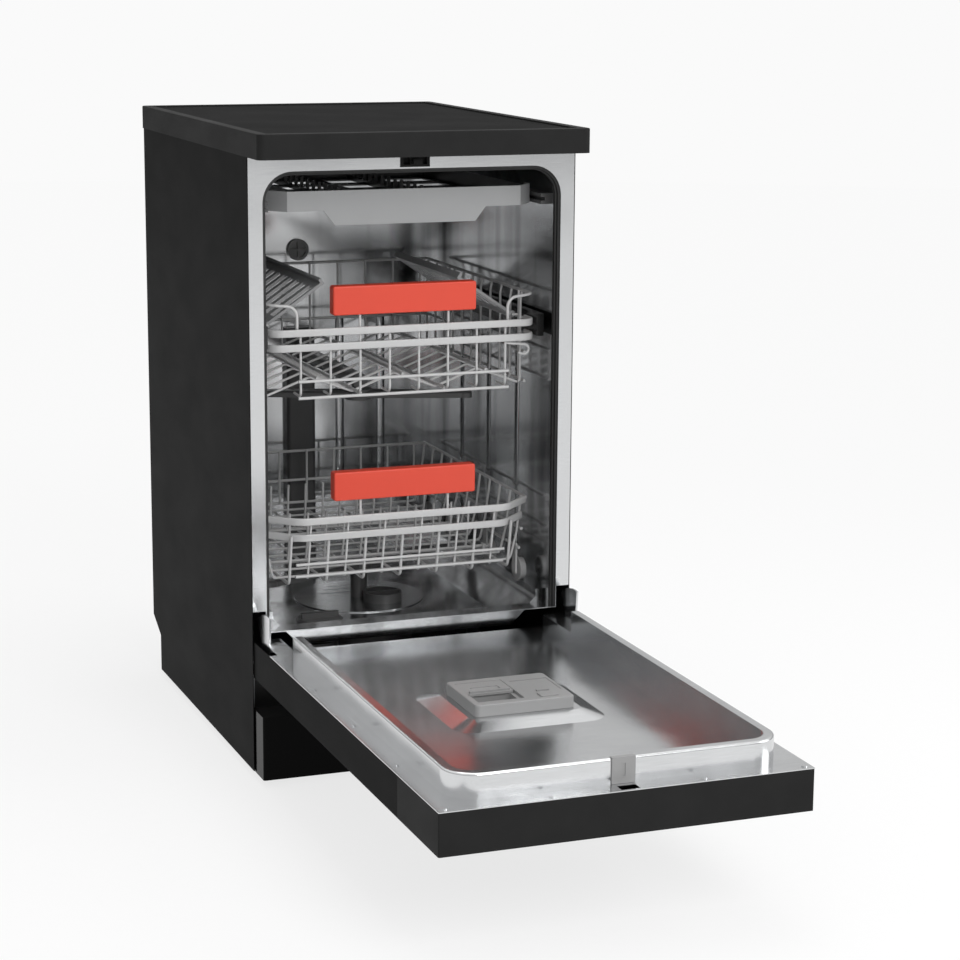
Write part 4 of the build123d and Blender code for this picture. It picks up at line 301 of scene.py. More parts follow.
FINISHES: dict[str, Plastic | Steel] = {
    "black_plastic": Plastic("satin_black_moulding", grey(0.019), 0.5, grain_depth=0.0001, sheen=0.03),
    "worktop_board": Plastic("worktop_laminate", grey(0.0105), 0.6, 0.08, 0.25, 1500.0, 0.00016, sheen=0.012),
    "black_paint": Plastic(
        "black_enamel_sheet", grey(0.0085), 0.5, 0.06, 0.1, 1900.0, 0.00005, 0.0006, sheen=0.015
    ),
    "galvanised": Plastic("zinc_coated_sheet", grey(0.4, -0.02), 0.38, 0.1, 0.22, 420.0, 0.00004),
    "black_gloss": Plastic(
        "polished_black_moulding", grey(0.0025), 0.12, 0.05, 0.1, 1200.0, 0.00001, 0.0004, sheen=0.05
    ),
    "window_gloss": Plastic("smoked_window", grey(0.004), 0.06, 0.03, 0.05, 1200.0, 0.0, sheen=0.2),
    "steel_polished": Steel("bright_sheet", Grain.ALONG_X),
    # The tub's sheet has strong vertical bands of painted reflection in its colour.
    "steel_tub": Steel(
        "tub_sheet", Grain.ALONG_Z, 0.68, 0.13, 0.08, wave_stretch=(1.0, 1.0, 0.06), painted_reflection_streaks=1.7
    ),
    "gasket_rubber": Plastic("seal_rubber", grey(0.012), 0.62, 0.08, 0.2, 900.0, 0.00008),
    "grey_plastic": Plastic("dispenser_grey", grey(0.26), 0.4, 0.06, 0.04),
    "dark_plastic": Plastic("wash_system_grey", grey(0.06), 0.4, 0.08, 0.1),
    "pump_housing": Plastic("pump_grey", grey(0.1), 0.5, 0.08, 0.15),
    "rail_metal": Plastic("dark_rail", grey(0.012), 0.24, 0.08, 0.2, 700.0, 0.00003, 0.0, 0.2),
    "button_plastic": Plastic("button_black", grey(0.016), 0.24, 0.05, 0.1, sheen=0.2),
    COATING: Plastic("dipped_wire_coat", grey(0.47), 0.3, 0.06, 0.05, 500.0, 0.00012),
    "wheel_plastic": Plastic("wheel_grey", grey(0.3), 0.36, 0.07, 0.06),
    "handle_orange": Plastic("orange_grip", (0.62, 0.054, 0.026, 1.0), 0.36, 0.05, 0.03, 2200.0, 0.00007),
    "tray_plastic": Plastic("tray_grey", grey(0.28, -0.01), 0.38, 0.05, 0.04),
    "tray_dark": Plastic("tray_dark_grey", grey(0.035), 0.42, 0.06, 0.1),
}


class Workshop:
    """The materials, made once each, and the calls that place a finished piece."""

    def __init__(self) -> None:
        """Start with no material made."""
        self.made: dict[str, bpy.types.Material] = {}

    def finish(self, slot: str) -> bpy.types.Material:
        """The material of a finish, built on first use.

        Args:
            slot: The finish's name.

        Returns:
            The material.
        """
        if slot not in self.made:
            self.made[slot] = FINISHES[slot].material()
        return self.made[slot]

    def dress(self, node: str, slot: str) -> None:
        """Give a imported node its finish.

        Args:
            node: The node's name.
            slot: The finish's name.
        """
        materials = frame["nodes"][node].data.materials
        materials.clear()
        materials.append(self.finish(slot))

    def place(self, piece: bpy.types.Object, body: str, slot: str, replaced: tuple[str, ...]) -> None:
        """Hand a finished piece to the frame.

        Args:
            piece: A mesh at the origin.
            body: The body that it moves with.
            slot: Its finish.
            replaced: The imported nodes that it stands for.
        """
        if not piece.data.materials:
            piece.data.materials.append(self.finish(slot))
        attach(piece, body)
        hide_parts(*replaced)
        LOG.info("%s: %d faces on %s", piece.name, len(piece.data.polygons), body)


def link_mesh(name: str, mesh: bpy.types.Mesh) -> bpy.types.Object:
    """Put a mesh in the scene as an object at the origin.

    Args:
        name: The object's name.
        mesh: Its mesh.

    Returns:
        The object.
    """
    made = bpy.data.objects.new(name, mesh)
    bpy.context.scene.collection.objects.link(made)
    return made


def closed(name: str, shape: bmesh.types.BMesh, crease: float | None = None) -> bpy.types.Mesh:
    """Turn a shape into a mesh whose faces look outwards.

    Args:
        name: The mesh's name.
        shape: The shape, which is freed.
        crease: The angle in degrees up to which faces that meet are shaded as one, or None for flat faces.

    Returns:
        The mesh.
    """
    bmesh.ops.recalc_face_normals(shape, faces=shape.faces)
    mesh = bpy.data.meshes.new(name)
    shape.to_mesh(mesh)
    shape.free()
    if crease is not None:
        mesh.shade_smooth()
        mesh.set_sharp_from_angle(angle=math.radians(crease))
    return mesh


def both_sides(paths: list[Path]) -> list[Path]:
    """The given paths and their mirror images on the other side of the machine."""
    return paths + [[(-x, y, z) for x, y, z in path] for path in paths]


def steps(count: int, low: float, high: float) -> list[float]:
    """Evenly spaced values from low to high."""
    return [low + (high - low) * k / (count - 1) for k in range(count)]


def sweep(shape: bmesh.types.BMesh, path: Path, outline: Outline, up: Vector) -> None:
    """Sweep an outline along a path with mitred corners, and close its ends.

    Args:
        shape: The shape that gains the sweep.
        path: The points to follow.
        outline: The outline, as distances sideways and upwards.
        up: The upward direction.
    """
    points = [Vector(point) for point in path]
    rings = []
    for k, point in enumerate(points):
        before = (point - points[max(k - 1, 0)]).normalized() if k else None
        after = (points[min(k + 1, len(points) - 1)] - point).normalized() if k < len(points) - 1 else None
        if before is None or after is None:
            way = after if before is None else before
            stretch = 1.0
        else:
            way = (before + after).normalized()
            stretch = 1.0 / max(way.dot(after), SHARPEST_MITRE)
        side = way.cross(up).normalized() * stretch
        rings.append([shape.verts.new(point + side * across + up * rise) for across, rise in outline])
    size = len(outline)
    for ring, following in zip(rings, rings[1:]):
        for k in range(size):
            shape.faces.new((ring[k], ring[(k + 1) % size], following[(k + 1) % size], following[k]))
    shape.faces.new(rings[0])
    shape.faces.new(list(reversed(rings[-1])))


def rounded_outline(width: float, height: float, radius: float, arc_steps: int = 3) -> Outline:
    """A rectangle with rounded corners about its middle.

    Args:
        width: Its width.
        height: Its height.
        radius: The corners' radius.
        arc_steps: How many steps each corner has.

    Returns:
        The outline's points.
    """
    points = []
    for corner, (sx, sy) in enumerate(((1, 1), (-1, 1), (-1, -1), (1, -1))):
        for k in range(arc_steps + 1):
            angle = math.radians(90.0 * corner + 90.0 * k / arc_steps)
            across = sx * (width / 2 - radius) + radius * math.cos(angle)
            rise = sy * (height / 2 - radius) + radius * math.sin(angle)
            points.append((across, rise))
    return points


def round_path(path: Path, radius: float, arc_steps: int) -> Path:
    """A path with its inner corners rounded.

    Args:
        path: The corner points.
        radius: The bend's radius.
        arc_steps: How many steps each bend has.

    Returns:
        The points of the rounded path.
    """
    points = [Vector(point) for point in path]
    rounded = [points[0]]
    for before, corner, after in zip(points, points[1:], points[2:]):
        back = (before - corner).normalized()
        ahead = (after - corner).normalized()
        angle = back.angle(ahead)
        if angle > STRAIGHT:
            rounded.append(corner)
            continue
        longest = BEND_SHARE * min((before - corner).length, (after - corner).length)
        cut = min(radius / math.tan(angle / 2), longest)
        bend = cut * math.tan(angle / 2)
        centre = corner + (back + ahead).normalized() * (bend / math.sin(angle / 2))
        start = corner + back * cut - centre
        end = corner + ahead * cut - centre
        turn = start.angle(end)
        for k in range(arc_steps + 1):
            share = k / arc_steps
            rounded.append(
                centre
                + (start * math.sin((1 - share) * turn) + end * math.sin(share * turn)) / math.sin(turn)
            )
    rounded.append(points[-1])
    return [tuple(point) for point in rounded]


def lathe(shape: bmesh.types.BMesh, centre: Point, axis: Vector, profile: Outline, segments: int) -> None:
    """Turn a profile about an axis.

    Args:
        shape: The shape that gains the turned form.
        centre: A point on the axis.
        axis: The axis, of length one.
        profile: Distances along the axis and from it, from one end to the other.
        segments: How many steps go round.
    """
    side = axis.orthogonal().normalized()
    other = axis.cross(side)
    rings = []
    for along, radius in profile:
        ring = []
        for k in range(segments):
            angle = 2 * math.pi * k / segments
            spoke = side * math.cos(angle) + other * math.sin(angle)
            ring.append(shape.verts.new(Vector(centre) + axis * along + spoke * radius))
        rings.append(ring)
    for ring, following in zip(rings, rings[1:] + rings[:1]):
        for k in range(segments):
            after = (k + 1) % segments
            shape.faces.new((ring[k], ring[after], following[after], following[k]))


class WireWorks:
    """Bends round wire along paths with a Geometry Nodes tree."""

    BEND_POINTS = 5

    def __init__(self, workshop: Workshop) -> None:
        """Build the tree.

        Args:
            workshop: Where finished pieces are placed.
        """
        self.workshop = workshop
        self.tree = bpy.data.node_groups.new("bent_wires", "GeometryNodeTree")
        face = self.tree.interface
        face.new_socket("Geometry", in_out="INPUT", socket_type="NodeSocketGeometry")
        kinds = {"Wire Radius": "Float", "Bend Radius": "Float", "Sides": "Int", "Finish": "Material"}
        self.inputs = {
            name: face.new_socket(name, in_out="INPUT", socket_type=f"NodeSocket{kind}")
            for name, kind in kinds.items()
        }
        face.new_socket("Geometry", in_out="OUTPUT", socket_type="NodeSocketGeometry")
        nodes = self.tree.nodes
        given = nodes.new("NodeGroupInput")
        curve = nodes.new("GeometryNodeMeshToCurve")
        bend = nodes.new("GeometryNodeFilletCurve")
        bend.mode = "POLY"
        bend.inputs["Count"].default_value = self.BEND_POINTS
        bend.inputs["Limit Radius"].default_value = True
        circle = nodes.new("GeometryNodeCurvePrimitiveCircle")
        tube = nodes.new("GeometryNodeCurveToMesh")
        tube.inputs["Fill Caps"].default_value = True
        smooth = nodes.new("GeometryNodeSetShadeSmooth")
        real = nodes.new("GeometryNodeRealizeInstances")
        paint = nodes.new("GeometryNodeSetMaterial")
        result = nodes.new("NodeGroupOutput")
        for start, end in (
            (given.outputs["Geometry"], curve.inputs["Mesh"]),
            (curve.outputs["Curve"], bend.inputs["Curve"]),
            (given.outputs["Bend Radius"], bend.inputs["Radius"]),
            (given.outputs["Wire Radius"], circle.inputs["Radius"]),
            (given.outputs["Sides"], circle.inputs["Resolution"]),
            (bend.outputs["Curve"], tube.inputs["Curve"]),
            (circle.outputs["Curve"], tube.inputs["Profile Curve"]),
            (tube.outputs["Mesh"], smooth.inputs["Geometry"]),
            (smooth.outputs["Geometry"], real.inputs["Geometry"]),
            (real.outputs["Geometry"], paint.inputs["Geometry"]),
            (given.outputs["Finish"], paint.inputs["Material"]),
            (paint.outputs["Geometry"], result.inputs["Geometry"]),
        ):
            self.tree.links.new(start, end)

    def bend(
        self, paths: list[Path], radius: float, bend_radius: float, slot: str, sides: int = 10
    ) -> bpy.types.Mesh:
        """Bend wires along paths.

        Args:
            paths: The corner points of each wire.
            radius: The wire's radius.
            bend_radius: The radius of its bends.
            slot: Its finish.
            sides: How many sides the round wire has.

        Returns:
            One plain mesh of all the wires.
        """
        lines = bpy.data.meshes.new("wire_lines")
        corners = [point for path in paths for point in path]
        edges = []
        start = 0
        for path in paths:
            edges += [(start + k, start + k + 1) for k in range(len(path) - 1)]
            start += len(path)
        lines.from_pydata(corners, edges, [])
        carrier = link_mesh("wire_carrier", lines)
        modifier = carrier.modifiers.new("wires", "NODES")
        modifier.node_group = self.tree
        given = (radius, bend_radius, sides, self.workshop.finish(slot))
        for socket, setting in zip(self.inputs.values(), given):
            modifier[socket.identifier] = setting
        bpy.context.view_layer.update()
        graph = bpy.context.evaluated_depsgraph_get()
        mesh = bpy.data.meshes.new_from_object(carrier.evaluated_get(graph), depsgraph=graph)
        bpy.data.objects.remove(carrier)
        bpy.data.meshes.remove(lines)
        return mesh


def joined(name: str, meshes: list[bpy.types.Mesh]) -> bpy.types.Object:
    """One object from several meshes with the same finish.

    Args:
        name: The object's name.
        meshes: The meshes, which are removed.

    Returns:
        The object.
    """
    shape = bmesh.new()
    for mesh in meshes:
        shape.from_mesh(mesh)
    whole = bpy.data.meshes.new(name)
    shape.to_mesh(whole)
    shape.free()
    for mesh in meshes:
        for material in mesh.materials:
            if material is not None and material.name not in whole.materials:
                whole.materials.append(material)
        bpy.data.meshes.remove(mesh)
    return link_mesh(name, whole)


@dataclass
class Basket:
    """What both baskets share: two wires, even side hoops, flat front bars, grip posts and a back grid."""

    wires: WireWorks
    workshop: Workshop
    body: str = "lower_rack"
    front: float = 0.106
    back: float = 0.568
    corner: float = 0.042
    wire: float = 0.0042
    thin_wire: float = 0.0034
    bend: float = 0.009
    weld_gap: float = 0.0035
    end_gap: float = 0.001
    rod_radius: float = 0.002
    rod_sides: int = 14
    bar_drop: float = 0.023
    bar_tall: float = 0.01
    bar_thick: float = 0.004
    bar_edge: float = 0.0017
    hoop_count: int = 11
    hoop_margins: tuple[float, float] = (0.008, 0.014)
    post_x: float = 0.06169
    post_foot: float = 0.006
    post_top: float = 0.3815
    back_inset: float = 0.004
    stile_count: int = 9
    stile_half: float = 0.171

    def bar_path(self, top: float) -> Path:
        """The middle line of a flat front bar whose upper edge is at a height."""
        raise NotImplementedError

    def hoop_places(self) -> list[float]:
        """Where the side hoops stand along the basket."""
        first, last = self.hoop_margins
        return steps(self.hoop_count, self.front + self.corner + first, self.back - last)

    def thick(self, paths: list[Path]) -> bpy.types.Mesh:
        """Bend the thicker wire along paths."""
        return self.wires.bend(paths, self.wire / 2, self.bend, COATING)

    def thin(self, paths: list[Path]) -> bpy.types.Mesh:
        """Bend the thinner wire along paths."""
        return self.wires.bend(paths, self.thin_wire / 2, self.bend, COATING)

    def rods(self, paths: list[Path]) -> bpy.types.Mesh:
        """The rounder rods on which something turns."""
        return self.wires.bend(paths, self.rod_radius, self.bend, COATING, self.rod_sides)

    def place(self, name: str, meshes: list[bpy.types.Mesh], node: str, body: str = "") -> None:
        """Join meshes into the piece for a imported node, on the basket's body or the one that is named."""
        self.workshop.place(joined(name, meshes), body or self.body, COATING, (node,))

    def front_bars(self, top: float) -> bpy.types.Mesh:
        """The two flat bars across the front, with rounded edges.

        Args:
            top: The upper edge of the upper bar.

        Returns:
            Their mesh.
        """
        shape = bmesh.new()
        outline = rounded_outline(self.bar_thick, self.bar_tall, self.bar_edge)
        for edge in (top, top - self.bar_drop):
            sweep(shape, self.bar_path(edge), outline, UPWARDS)
        return closed("bars", shape, BAR_CREASE)

    def grip_posts(self, y: float, top: float) -> list[Path]:
        """The two posts that carry the orange grip, from just under the front grid's top."""
        return [[(x, y, top - self.post_foot), (x, y, self.post_top)] for x in (-self.post_x, self.post_x)]

    def back_grid(
        self, rows: list[tuple[float, float]], low: float, high: float
    ) -> tuple[list[Path], list[Path]]:
        """The grid at the back.

        Args:
            rows: The height and half the length of each cross wire.
            low: Where the thin stiles start.
            high: Where they end.

        Returns:
            The cross wires and the stiles.
        """
        y = self.back - self.back_inset
        inner = y - self.weld_gap
        across = [[(-half, y, z), (half, y, z)] for z, half in rows]
        places = steps(self.stile_count, -self.stile_half, self.stile_half)
        return across, [[(x, inner, low), (x, inner, high)] for x in places]


@dataclass
class LowerRack(Basket):
    """The wheeled lower basket: leaning wire sides, flat front bars and tines."""

    base_z: float = 0.246
    top_z: float = 0.337
    base_half: float = 0.178
    top_half: float = 0.19
    setback: float = 0.02
    bar_lift: float = 0.002
    bar_gap: float = 0.0015
    bar_tip: float = 0.002
    bar_bend: float = 0.03
    weld_sink: float = 0.0008
    line_count: int = 7
    line_half: float = 0.1561
    line_end: float = 0.01
    line_turn: float = 0.002
    cross_end: float = 0.008
    side_lift: float = 0.002
    side_line_rise: float = 0.018
    hoop_over: float = 0.001
    hoop_feet: tuple[float, float] = (0.0078, 0.0128)
    kink_z: float = 0.286
    clip: tuple[float, float, float] = (0.004, 0.009, 0.0012)
    clip_rise: float = 0.0034
    lug: tuple[float, float, float] = (0.003, 0.013, 0.001)
    lug_drop: float = 0.006
    lug_rise: float = 0.024
    pin_segments: int = 20
    upright_drop: float = 0.003
    upright_low: float = 0.006
    front_rows: tuple[float, float] = (0.01, 0.027)
    back_row: float = 0.01
    back_row_end: float = 0.0022
    stile_low: float = 0.009
    tine_tall: float = 0.07
    tine_pitch: float = 0.026
    tine_count: int = 11
    tine_lean: float = 10.0
    tine_bow: float = 1.8
    tine_middle: float = 0.4
    tine_bend: float = 0.03
    tine_rod_z: float = 0.2539
    tine_rod_half: float = 0.16
    tine_setbacks: tuple[float, float] = (0.118, 0.3)

    def half(self, z: float) -> float:
        """Half the basket's width at a height."""
        share = (z - self.base_z) / (self.top_z + self.bar_lift - self.base_z)
        return self.base_half + (self.top_half - self.base_half) * share

    def front_y(self, z: float) -> float:
        """Where the leaning front's wires stand at a height."""
        share = (z - self.base_z) / (self.top_z - self.upright_drop - self.base_z)
        return self.front + self.bar_thick + self.bar_gap + self.setback * (1.0 - share)

    def line_places(self) -> list[float]:
        """Where the long floor wires lie across the basket."""
        return steps(self.line_count, -self.line_half, self.line_half)

    def bar_path(self, top: float) -> Path:
        """The middle line of a flat front bar, bent at its two corners.

        Args:
            top: The bar's upper edge.

        Returns:
            Its points in plan.
        """
        z = top - self.bar_tall / 2
        half = self.half(top) - self.bar_thick / 2
        face = self.front_y(z) - self.bar_gap - self.bar_thick / 2
        reach = half - self.corner
        corners = [
            (-half, face + self.corner, z),
            (-half, face + self.corner - self.bar_tip, z),
            (-reach, face, z),
            (reach, face, z),
            (half, face + self.corner - self.bar_tip, z),
            (half, face + self.corner, z),
        ]
        return round_path(corners, self.bar_bend, 6)

    def build_floor(self) -> None:
        """The floor: long wires that turn up at the front, cross wires, and the tine clips."""
        low = self.base_z
        top = self.top_z - self.bar_drop
        lines = [
            [
                (x, self.back - self.line_end, low),
                (x, self.front_y(low) - self.line_turn, low),
                (x, self.front_y(top), top),
            ]
            for x in self.line_places()
        ]
        level = low + self.wire - self.weld_sink
        reach = self.base_half - self.cross_end
        cross = [[(-reach, y, level), (reach, y, level)] for y in self.hoop_places()]
        clips = bmesh.new()
        for setback in self.tine_setbacks:
            y = self.front + setback
            for x in (self.line_places()[0], self.line_places()[-1]):
                path = [(x, y, low), (x, y, self.tine_rod_z + self.clip_rise)]
                sweep(clips, path, rounded_outline(*self.clip), BACKWARDS)
        meshes = [self.thick(lines), self.thin(cross), closed("clips", clips)]
        self.place("lower_basket_floor", meshes, "lower_rack_floor")

    def build_sides(self) -> None:
        """The sides: hoops bent in towards the floor, long wires, wheel lugs and axle pins."""
        low = self.base_z + self.side_lift
        foot = self.base_z + self.wire - self.weld_sink
        hoops = [
            [
                (self.half(self.top_z) - self.weld_gap, y, self.top_z + self.hoop_over),
                (self.half(self.kink_z) - self.weld_gap, y, self.kink_z),
                (self.half(low) - self.hoop_feet[0], y, foot),
                (self.half(low) - self.hoop_feet[1], y, foot),
            ]
            for y in self.hoop_places()
        ]
        start = self.front + self.corner
        end = self.back - self.end_gap
        heights = (self.top_z, (low + self.top_z) / 2, low + self.side_line_rise)
        lines = [[(self.half(z), start, z), (self.half(z), end, z)] for z in heights]
        lugs = bmesh.new()
        for wheel in Wheels.SETBACKS:
            y = self.front + wheel
            for side in (-1.0, 1.0):
                x = side * (Wheels.INNER - Wheels.GAP - self.lug[0] / 2)
                path = [(x, y, Wheels.AXIS_Z - self.lug_drop), (x, y, self.base_z + self.lug_rise)]
                sweep(lugs, path, rounded_outline(*self.lug), BACKWARDS)
                centre = (x, y, Wheels.AXIS_Z)
                lathe(lugs, centre, Vector((side, 0.0, 0.0)), PIN_PROFILE, self.pin_segments)
        meshes = [self.thin(both_sides(hoops)), self.thick(both_sides(lines)), closed("lugs", lugs)]
        self.place("lower_basket_sides", meshes, "lower_rack_sides")

    def build_ends(self) -> None:
        """The front grid with its two flat bars and grip posts, and the back grid."""
        top = self.top_z - self.upright_drop
        foot = self.base_z + self.upright_low
        between = self.line_places()
        uprights = []
        for left, right in zip(between, between[1:]):
            x = (left + right) / 2
            uprights.append([(x, self.front_y(foot), foot), (x, self.front_y(top), top)])
        uprights += self.grip_posts(self.front_y(top), top)
        reach = self.top_half - self.corner
        cross = []
        for rise in self.front_rows:
            z = self.base_z + rise
            y = self.front_y(z) - self.weld_gap
            cross.append([(-reach, y, z), (reach, y, z)])
        low = self.base_z + self.side_lift
        heights = (low + self.back_row, (low + self.top_z) / 2, self.top_z)
        rows = [(z, self.half(z) - self.back_row_end) for z in heights]
        rear, stiles = self.back_grid(rows, low + self.stile_low, self.top_z + self.hoop_over)
        bars = self.front_bars(self.top_z + self.bar_lift)
        meshes = [bars, self.thick(cross + rear), self.thin(uprights + stiles)]
        self.place("lower_basket_ends", meshes, "lower_rack_ends")

    def build_tines(self) -> None:
        """The two rows of plate tines, each a rod with slightly bent fingers."""
        half = self.tine_pitch * (self.tine_count - 1) / 2
        lean = math.radians(self.tine_lean)
        middle = self.tine_tall * self.tine_middle
        z = self.tine_rod_z
        for row, setback in zip(("front", "rear"), self.tine_setbacks):
            y = self.front + setback
            fingers = []
            for x in steps(self.tine_count, -half, half):
                bow = (x, y - middle * math.sin(lean * self.tine_bow), z + middle)
                tip = (x, y - self.tine_tall * math.sin(lean), z + self.tine_tall * math.cos(lean))
                fingers.append([(x, y, z), bow, tip])
            rod = self.rods([[(-self.tine_rod_half, y, z), (self.tine_rod_half, y, z)]])
            rows = self.wires.bend(fingers, self.thin_wire / 2, self.tine_bend, COATING)
            self.place(f"{row}_tines_wires", [rod, rows], f"{row}_tine_row", f"{row}_tines")

    def build(self) -> None:
        """Build the whole basket."""
        self.build_floor()
        self.build_sides()
        self.build_ends()
        self.build_tines()


@dataclass
class Wheels:
    """The basket's eight flanged wheels, in four pairs."""

    workshop: Workshop
    SETBACKS = (0.056, 0.17, 0.327, 0.44)
    ORDER = ("first", "second", "third", "fourth")
    INNER = 0.182
    GAP = 0.0004
    AXIS_Z = 0.2333
    front: float = 0.106
    radius: float = 0.015
    flange: float = 0.018
    flange_width: float = 0.002
    width: float = 0.008
    bore: float = 0.00308
    segments: int = 48
    spoke_count: int = 6
    spoke_sink: float = 0.0017
    spoke_ends: tuple[float, float] = (0.002, 0.0026)
    spoke: tuple[float, float, float, int] = (0.0014, 0.0018, 0.0003, 1)

    def profile(self) -> Outline:
        """The wheel's half section, from the bore's inner edge round to its outer edge."""
        outer = self.flange_width + self.width
        return [
            (0.0, self.bore),
            (0.0, self.flange - 0.0006),
            (0.0006, self.flange),
            (self.flange_width - 0.0004, self.flange),
            (self.flange_width, self.flange - 0.0005),
            (self.flange_width, self.radius + 0.0004),
            (self.flange_width + 0.0005, self.radius),
            (outer - 0.0008, self.radius),
            (outer, self.radius - 0.0008),
            (outer, self.radius - 0.0028),
            (outer - 0.0026, self.radius - 0.0031),
            (outer - 0.0026, self.bore + 0.0029),
            (outer, self.bore + 0.0026),
            (outer, self.bore),
        ]

    def build(self) -> None:
        """Build each pair with ribs across the sunk face."""
        sunk = self.flange_width + self.width - self.spoke_sink
        near = self.bore + self.spoke_ends[0]
        far = self.radius - self.spoke_ends[1]
        for setback, order in zip(self.SETBACKS, self.ORDER):
            shape = bmesh.new()
            for side in (-1.0, 1.0):
                centre = Vector((side * self.INNER, self.front + setback, self.AXIS_Z))
                axis = Vector((side, 0.0, 0.0))
                lathe(shape, tuple(centre), axis, self.profile(), self.segments)
                face = centre + axis * sunk
                for k in range(self.spoke_count):
                    angle = 2 * math.pi * k / self.spoke_count
                    spoke = Vector((0.0, math.cos(angle), math.sin(angle)))
                    path = [tuple(face + spoke * near), tuple(face + spoke * far)]
                    sweep(shape, path, rounded_outline(*self.spoke), axis)
            name = f"basket_wheels_{order}"
            piece = link_mesh(name, closed(name, shape, WHEEL_CREASE))
            self.workshop.place(piece, f"wheels_{order}", "wheel_plastic", (f"lower_wheels_{order}",))


